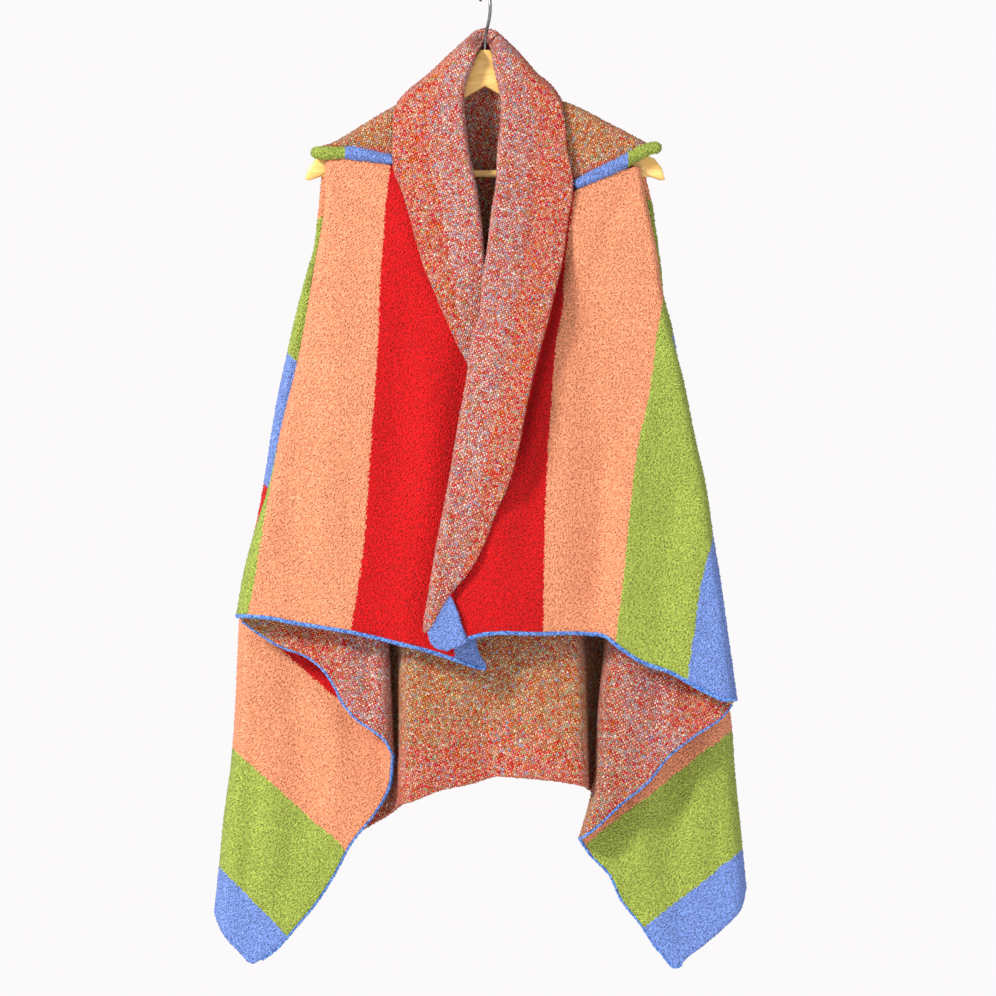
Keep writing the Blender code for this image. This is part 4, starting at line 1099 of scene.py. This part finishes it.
for side, flat, area in (("right", (0.105, 0.10), 0.0075), ("left", (0.12, 0.13), 0.0105)):
    table = YOKES[side]
    line = rounded(table)
    grid = []
    for x, ridge, front_edge, back_edge in at(line, marks_for(line)):
        top = ridge + CLOTH / 2.0
        spring, rear = (min(YOKE_RADIUS, (edge - top) * 0.8) for edge in (front_edge, back_edge))
        ends = (front_edge, top + spring), (0.0, math.pi), (top + rear, back_edge)
        front, over, back = (np.linspace(*pair, rows) for pair, rows in zip(ends, YOKE_ROWS))
        column = [(x, -YOKE_RADIUS, drop) for drop in front[:-1]]
        for angle in over:
            rise = spring if angle < math.pi / 2 else rear
            column.append((x, -YOKE_RADIUS * math.cos(angle), top + rise * (1 - math.sin(angle))))
        grid.append(column + [(x, YOKE_RADIUS, drop) for drop in back[1:]])
    sheet = np.array(grid, float).transpose(1, 0, 2)
    x, y, drop = np.moveaxis(sheet, -1, 0)
    y += YOKE_SWELL[0] * drift(x, drop, *YOKE_SWELL[1:]) * np.sign(y)
    band = np.full(sheet.shape[:2], GREEN)
    band[:2] = BLUE
    yoke = knit(f"yoke_{side}_cloth", sheet, band, 1.0, MARL, "marl_ochre", f"yoke_{side}")

    outermost = max(abs(row[0]) for row in table)
    reach = np.linspace(ROLL_STARTS, outermost + ROLL_REACH[side], ROLL_POINTS)
    edge = rounded(sorted((abs(row[0]), row[2]) for row in table))
    drop = np.interp(reach, edge[:, 0], edge[:, 1]) + ROLL_RADIUS
    drop -= ROLL_END_RISES[side] * smooth(reach, reach[-1] - 28.0, reach[-1])
    points = np.stack([-INWARDS[side] * reach, np.full(ROLL_POINTS, ROLL_DEPTH), drop], axis=-1)
    fat = ROLL_RADIUS * (1.0 + 0.08 * drift(points[:, 0], drop, 24.0, 61))
    fat *= 1.0 - 0.2 * smooth(-reach, -150.0, -115.0)
    colours = lambda places: np.where(places[:, 0] > ROLL_TURNS_GREEN[side], GREEN, BLUE)
    looped_rod(f"armhole_roll_{side}_loops", points, fat, colours, "edge_blue", f"armhole_roll_{side}")

    # The slit's other edge runs down the back's side, peach and then green, and rolls as well.
    x, drop = rounded(ARMHOLE_BACK[side]).T
    points = np.stack([x, np.interp(drop, *EDGE_DEPTHS), drop], axis=-1)
    fat = np.interp(drop, *EDGE_RADII) * (1.0 + 0.06 * drift(x, drop, 20.0, 63))
    colours = lambda places: np.where(places[:, 2] < EDGE_TURNS_GREEN[side], PEACH, GREEN)
    looped_rod(f"armhole_edge_{side}_loops", points, fat, colours, "face_green", "back_panel")


# === Shawl collar =============================================================================
# The blanket's upper long edge, turned out: it falls down the back, and its two fronts make the
# lapels. The marl shows, with the knitted edge left free; at the roll the cloth folds back into
# the fronts.
LAPEL_ROLLS = {
    "right": [
        (-2.5, 46), (-3.5, 58), (-8, 68), (-14, 78), (-21, 92), (-29, 112), (-33, 137), (-31, 167),
        (-27, 201), (-19, 238), (-12, 286), (-7, 330), (-2, 367), (-1, 402), (1, 467),
    ],
    "left": [
        (2.5, 46), (4, 58), (9, 68), (15, 84), (20, 105), (26, 133), (27, 149), (22, 206), (21, 238),
        (15, 276), (10, 323), (4, 359), (0, 405), (-8, 429), (-15, 480), (-26, 540), (-36, 602),
        (-48, 665), (-56, 708), (-62, 748), (-66, 768), (-68, 788),
    ],
}
LAPEL_EDGES = {
    "right": [
        (-105, 136), (-111, 155), (-112, 184), (-111, 222), (-99, 253), (-86, 299), (-74, 340),
        (-60, 374), (-43, 414), (-29, 444), (-17, 466),
    ],
    "left": [
        (92, 134), (97, 167), (100, 197), (107, 244), (101, 281), (94, 333), (85, 370), (75, 411),
        (64, 450), (48, 519), (38, 571), (26, 612), (12, 644), (-3, 684), (-21, 717), (-38, 736),
        (-45, 744),
    ],
}
LAPEL_TOPS = {
    "right": [
        (-2.5, 46), (-10, 48.5), (-18, 55.5), (-43, 79), (-62, 97.5), (-78, 111), (-94, 124),
        (-105, 136),
    ],
    "left": [
        (2.5, 46), (12, 49), (24, 60), (38, 74), (50, 87.5), (64, 103.5), (77, 113.5), (86, 124),
        (92, 134),
    ],
}
LAPEL_LIE = 6.5
LAPEL_ROLL = 12.0
LAPEL_SWELL = 6.0
LAPEL_FULLEST = (90.0, 150.0, 250.0, 420.0)  # drops where its swell comes and goes
LAPEL_LIFTS = {"right": 3.0, "left": 15.0}  # the free edge stands off the front
LAPEL_LIFTED = (290.0, 390.0, 560.0, 660.0)
LAPEL_TURNS = (75.0, 115.0)
LAPEL_WAVES = {"right": (0.8, 55.0, 71), "left": (0.8, 55.0, 72)}
COLLAR_WAVES = (1.0, 60.0, 73)
LAPEL_COLUMNS = 34
RIDGE_ROWS = 14  # mesh rows set close together over the collar's ridge
RIDGE_SHARES = {"right": 0.075, "left": 0.045, "back": 0.2}
COLLAR_ROWS = 26  # below them
LAPEL_CREASES = {
    "right": [(2.5, 9.0, [(-60, 150), (-62, 230), (-48, 320), (-26, 420)])],
    "left": [
        (2.5, 10.0, [(62, 150), (66, 240), (52, 340), (34, 440), (10, 560)]),
        (-2.0, 8.0, [(26, 470), (8, 560), (-12, 640), (-30, 700)]),
    ],
}
HOOK_PASSES = 55.0
BEHIND_HOOK = 9.0
RIDGE_BEHIND = 15.0
RIDGE_BESIDE = -1.0
RIDGE_REACH = 95.0
COLLAR_FOOT = 208.0
COLLAR_RISE = 12.0
COLLAR_PLACE = -0.5  # in the blocks: blue's reverse
LILAC_FROM_ROLL = 36.0  # width of the strip beside the roll whose other side is red


def ridge_depth(x):
    """The collar's ridge runs over the arms, and behind the hook in the middle."""
    inwards = 1.0 - np.abs(x) / RIDGE_REACH
    return RIDGE_BESIDE + (RIDGE_BEHIND - RIDGE_BESIDE) * smooth(inwards, 0.45, 1.0)


def over_ridge(ridge, lying, below):
    """Depth at a distance below the ridge, round it and down to where the cloth lies."""
    away = np.clip(below / (1.1 * np.abs(lying - ridge)), 0.0, 1.0)
    return ridge + (lying - ridge) * np.sqrt(1.0 - (1.0 - away) ** 2), away


def comes_and_goes(drop, starts, whole, ends, gone):
    """A soft step up from 0 to 1 and down again."""
    return smooth(drop, starts, whole) * (1.0 - smooth(drop, ends, gone))


def lapel_depth(side, x, drop, to_roll):
    """How far forward a lapel lies on its front, more towards the roll."""
    return front_depth(side, x, drop) - LAPEL_LIE - (LAPEL_ROLL - LAPEL_LIE) * to_roll


for side, flat, area in (("right", (0.15, 0.45), 0.036), ("left", (0.14, 0.78), 0.064)):
    edge, roll = rounded(LAPEL_EDGES[side]), rounded(LAPEL_ROLLS[side])
    top = rounded(LAPEL_TOPS[side], 1.5)
    near = np.linspace(0.0, 1.0, RIDGE_ROWS) ** 2 * RIDGE_SHARES[side]
    rest = np.linspace(near[-1], 1.0, int(lengths_down(roll)[-1] / STITCH))
    v_marks = np.concatenate([near[:-1], rest])
    u_marks = np.linspace(0.0, 1.0, LAPEL_COLUMNS)
    if side == "right":
        end, to_roll, top, first, last = -1, u_marks, top[::-1], edge, roll
    else:
        end, to_roll, first, last = 0, 1.0 - u_marks, roll, edge
    grid = patch(top, np.array([first[-1], last[-1]]), first, last, u_marks, v_marks)
    x, drop = grid[..., 0], grid[..., 1]
    lying = lapel_depth(side, x, drop, to_roll)
    lying = lying - LAPEL_SWELL * to_roll * comes_and_goes(drop, *LAPEL_FULLEST)
    lying = lying - LAPEL_LIFTS[side] * comes_and_goes(drop, *LAPEL_LIFTED) * (1.0 - to_roll)
    lying = lying + (BEHIND_HOOK - lying) * (1.0 - smooth(np.hypot(x, drop - HOOK_PASSES), 8.0, 30.0))
    below = np.abs(grid - grid[:1]).sum(axis=-1)
    y, away = over_ridge(ridge_depth(x[:1]), lying, below)
    sheet = creased(np.stack([x, y, drop + CLOTH / 2.0 * (1.0 - away)], axis=-1), LAPEL_CREASES[side])
    how_much, *waves = LAPEL_WAVES[side]
    sheet[..., 1] += how_much * away * drift(x, drop, *waves)
    band = COLLAR_PLACE + 0.75 * smooth(LILAC_FROM_ROLL - np.abs(x - x[:, end, None]), -8.0, 8.0)
    radius, amount = lambda drop: LAPEL_ROLL / 2.0 - 0.5, lambda drop: smooth(drop, *LAPEL_TURNS)
    sheet, band = add_turn(sheet, band, end, radius, amount)
    lapel = knit(f"lapel_{side}_cloth", sheet, band, 1.0, MARL, "marl", f"lapel_{side}")

top = np.concatenate([rounded(LAPEL_TOPS["right"], 1.5)[::-1], rounded(LAPEL_TOPS["left"], 1.5)])
x, head = at(top, marks_for(top)).T
foot = COLLAR_FOOT - COLLAR_RISE * (x / RIDGE_REACH) ** 4
lying = LAYERS["back"] * spacing(SHOULDER_DROP) + 8.0
near = np.linspace(0.0, 1.0, RIDGE_ROWS) ** 2 * RIDGE_SHARES["back"]
shares = np.concatenate([near[:-1], np.linspace(near[-1], 1.0, COLLAR_ROWS)])
drop = (head + CLOTH / 2.0) + (foot - head - CLOTH / 2.0) * shares[:, None]
y, away = over_ridge(ridge_depth(x), lying, drop - head - CLOTH / 2.0)
sheet = np.stack([np.broadcast_to(x, drop.shape), y, drop], axis=-1)
sheet[..., 1] += COLLAR_WAVES[0] * away * drift(sheet[..., 0], drop, *COLLAR_WAVES[1:])
band = COLLAR_PLACE + 0.75 * (1.0 - smooth(drop - head, 20.0, 36.0))
fall = knit("collar_fall_cloth", sheet, band, -1.0, MARL, "marl", "collar_back")


# === Turned corner of the left lapel ==========================================================
# Where the lapel's free edge meets the front's hem, the blanket's corner curls over and shows its
# blue face.
TIP_OUTER = [(-43.5, 745.5), (-38, 757), (-30, 780), (-24, 802)]
TIP_INNER = [(-68, 789.5), (-66, 799), (-58, 808), (-46, 811)]
TIP_WIDTH = 21.0
TIP_COLUMNS, TIP_ROWS = 14, 18

head, foot = (np.array([TIP_INNER[end], TIP_OUTER[end]], float) for end in (0, -1))
u_marks, v_marks = np.linspace(0.0, 1.0, TIP_COLUMNS), np.linspace(0.0, 1.0, TIP_ROWS)
x, drop = np.moveaxis(patch(head, foot, rounded(TIP_INNER), rounded(TIP_OUTER), u_marks, v_marks), -1, 0)
to_roll = np.clip((LAPEL_EDGES["left"][-1][0] - x) / TIP_WIDTH, 0.0, 1.0)
sheet = np.stack([x, lapel_depth("left", x, drop, to_roll), drop], axis=-1)
tip = knit("lapel_corner_cloth", sheet, np.full(x.shape, BLUE), -1.0, LOOPED, "edge_blue", "lapel_tip_left")


# === Hem edging ===============================================================================
# A few rows of plain blue stitches close both short sides of the blanket. They curl into a thin
# cord that runs along the front's hem, back along the return and down the tail.
EDGING_BLUE_AND_PAINTED_LIGHT = [(0.1, (150, 190, 246)), (0.4, (88, 146, 226)), (0.75, (44, 84, 168))]  # blue yarn, from a painted highlight on the crown to painted shade in the gap
EDGING_NUBS, EDGING_NUB_RADIUS = 130000.0, 0.9
EDGING_FACETS = 10
EDGING_STEP = 1.8
EDGING_TWIST = 3.4  # length of one turn of its yarn
HEMS = [  # name, sheet, radius, first and last column
    ("hem_front_right", FRONT_SHEETS["right"], 2.6, 0, None),
    ("hem_front_left", FRONT_SHEETS["left"], 2.6, 0, None),
    ("hem_return_right", RETURN_SHEETS["right"], 1.7, 1, -1),
    ("hem_return_left", RETURN_SHEETS["left"], 1.7, 1, -1),
    ("hem_tail_right", TAIL_SHEETS["right"], 1.7, TURN_COLUMNS + 16, None),
    ("hem_tail_left", TAIL_SHEETS["left"], 1.7, TURN_COLUMNS + 23, None),
]


def make_edging_yarn():
    """Blue stitches side by side along the cord, with a painted highlight on their crowns and painted shade
    in their gaps.
    """
    made, tree, shader, place = finish_of(
        "blue_edging", Roughness=0.9, Sheen_Weight=0.3, Sheen_Roughness=0.6, Specular_IOR_Level=0.15
    )
    links = [("Vector", place), ("Scale", 380.0), ("Smoothness", 0.4)]
    loops = node(tree, "ShaderNodeTexVoronoi", links, feature="SMOOTH_F1").outputs["Distance"]
    # painted highlight on each stitch's crown and painted shade in the gaps between stitches
    shade = ramp(tree, loops, [(far, colour(*yarn)) for far, yarn in EDGING_BLUE_AND_PAINTED_LIGHT])
    height = maths(tree, "MULTIPLY_ADD", loops, -1.0, noise(tree, place, 900.0)["Fac"])
    dress(tree, shader, shade, height, 0.8, 0.0014)
    return made


blue_edging = make_edging_yarn()
for name, sheet, radius, first, last in HEMS:
    hem, above = sheet[-1, first:last], sheet[-2, first:last]
    run = np.gradient(hem, axis=0)
    run /= np.linalg.norm(run, axis=1, keepdims=True)
    down = hem - above
    down -= run * (down * run).sum(axis=1, keepdims=True)
    down /= np.linalg.norm(down, axis=1, keepdims=True)
    points = hem + down * (radius + 0.3)
    marks = np.concatenate([[0.0], np.cumsum(np.linalg.norm(np.diff(points, axis=0), axis=1))])
    even = np.arange(0.0, marks[-1], EDGING_STEP)
    points = np.stack([np.interp(even, marks, column) for column in points.T], axis=-1)
    twist = 0.12 * np.sin(even / EDGING_TWIST * 2.0 * math.pi)
    thick = radius * (1.0 + twist + 0.05 * drift(even, 0.0 * even, 14.0, 81))
    cord = round_rod(f"{name}_edging", points, thick, EDGING_FACETS)
    marks = {"loose": np.ones(len(cord.vertices))}
    cord = nubbed(cord, [blue_edging], marks, EDGING_NUBS, EDGING_NUB_RADIUS)
    add(f"{name}_edging", cord, "edge_blue", name)


# === Studio ===================================================================================
# A pale floor well below the tails, an even pale surround, and a large soft lamp high on the
# left with a weaker one opposite.
FLOOR = [(-6, -7, -1.55), (6, -7, -1.55), (6, 2.9, -1.55), (-6, 2.9, -1.55)]
FLOOR_COLOUR = (0.92, 0.92, 0.93, 1.0)
SURROUND_COLOUR = (0.966, 0.947, 0.956, 1.0)
LIGHT_ON_CLOTH, SEEN_BEHIND = 0.62, 1.0  # how strong the surround is
AIM = (0.0, 0.0, -0.6)
LAMPS = [  # name, place, size, watts, colour
    ("key", (-3.2, -2.9, 1.9), 0.8, 296.0, (1.0, 0.985, 0.955)),
    ("fill", (2.8, -2.6, -0.2), 2.4, 26.0, (0.9, 0.94, 1.0)),
]
CAMERA_PLACE = (0.016, -6.0, -0.6264)
CAMERA_LENS = 175.9


def placed(name, data):
    """A new object in the scene."""
    made = bpy.data.objects.new(name, data)
    bpy.context.scene.collection.objects.link(made)
    return made


floor_mesh = bpy.data.meshes.new("floor")
floor_mesh.from_pydata(FLOOR, [], [(0, 1, 2, 3)])
floor_mesh.materials.append(finish_of("pale_floor", Roughness=0.9, Base_Color=FLOOR_COLOUR)[0])
floor = placed("floor", floor_mesh)

world = bpy.data.worlds.new("surround")
world.use_nodes = True
sight = node(world.node_tree, "ShaderNodeLightPath").outputs["Is Camera Ray"]
links = [("Value", sight), ("To Min", LIGHT_ON_CLOTH), ("To Max", SEEN_BEHIND)]
strength = node(world.node_tree, "ShaderNodeMapRange", links)
surround = world.node_tree.nodes["Background"]
surround.inputs["Color"].default_value = SURROUND_COLOUR
world.node_tree.links.new(strength.outputs["Result"], surround.inputs["Strength"])
bpy.context.scene.world = world

for name, place, size, watts, shade in LAMPS:
    lamp = bpy.data.lights.new(name, "AREA")
    lamp.size = size
    lamp.energy = watts
    lamp.color = shade
    away = np.array(place) - AIM
    stand = placed(name, lamp)
    stand.location = place
    stand.rotation_euler = (
        math.atan2(math.hypot(away[0], away[1]), away[2]), 0.0, math.atan2(away[1], away[0]) + math.pi / 2.0
    )

lens = bpy.data.cameras.new("camera")
lens.sensor_width = 36.0
lens.lens = CAMERA_LENS
camera = placed("camera", lens)
camera.location = CAMERA_PLACE
camera.rotation_euler = (math.pi / 2.0, 0.0, 0.0)
bpy.context.scene.camera = camera
bpy.context.scene.view_settings.view_transform = "Standard"

bpy.context.view_layer.update()
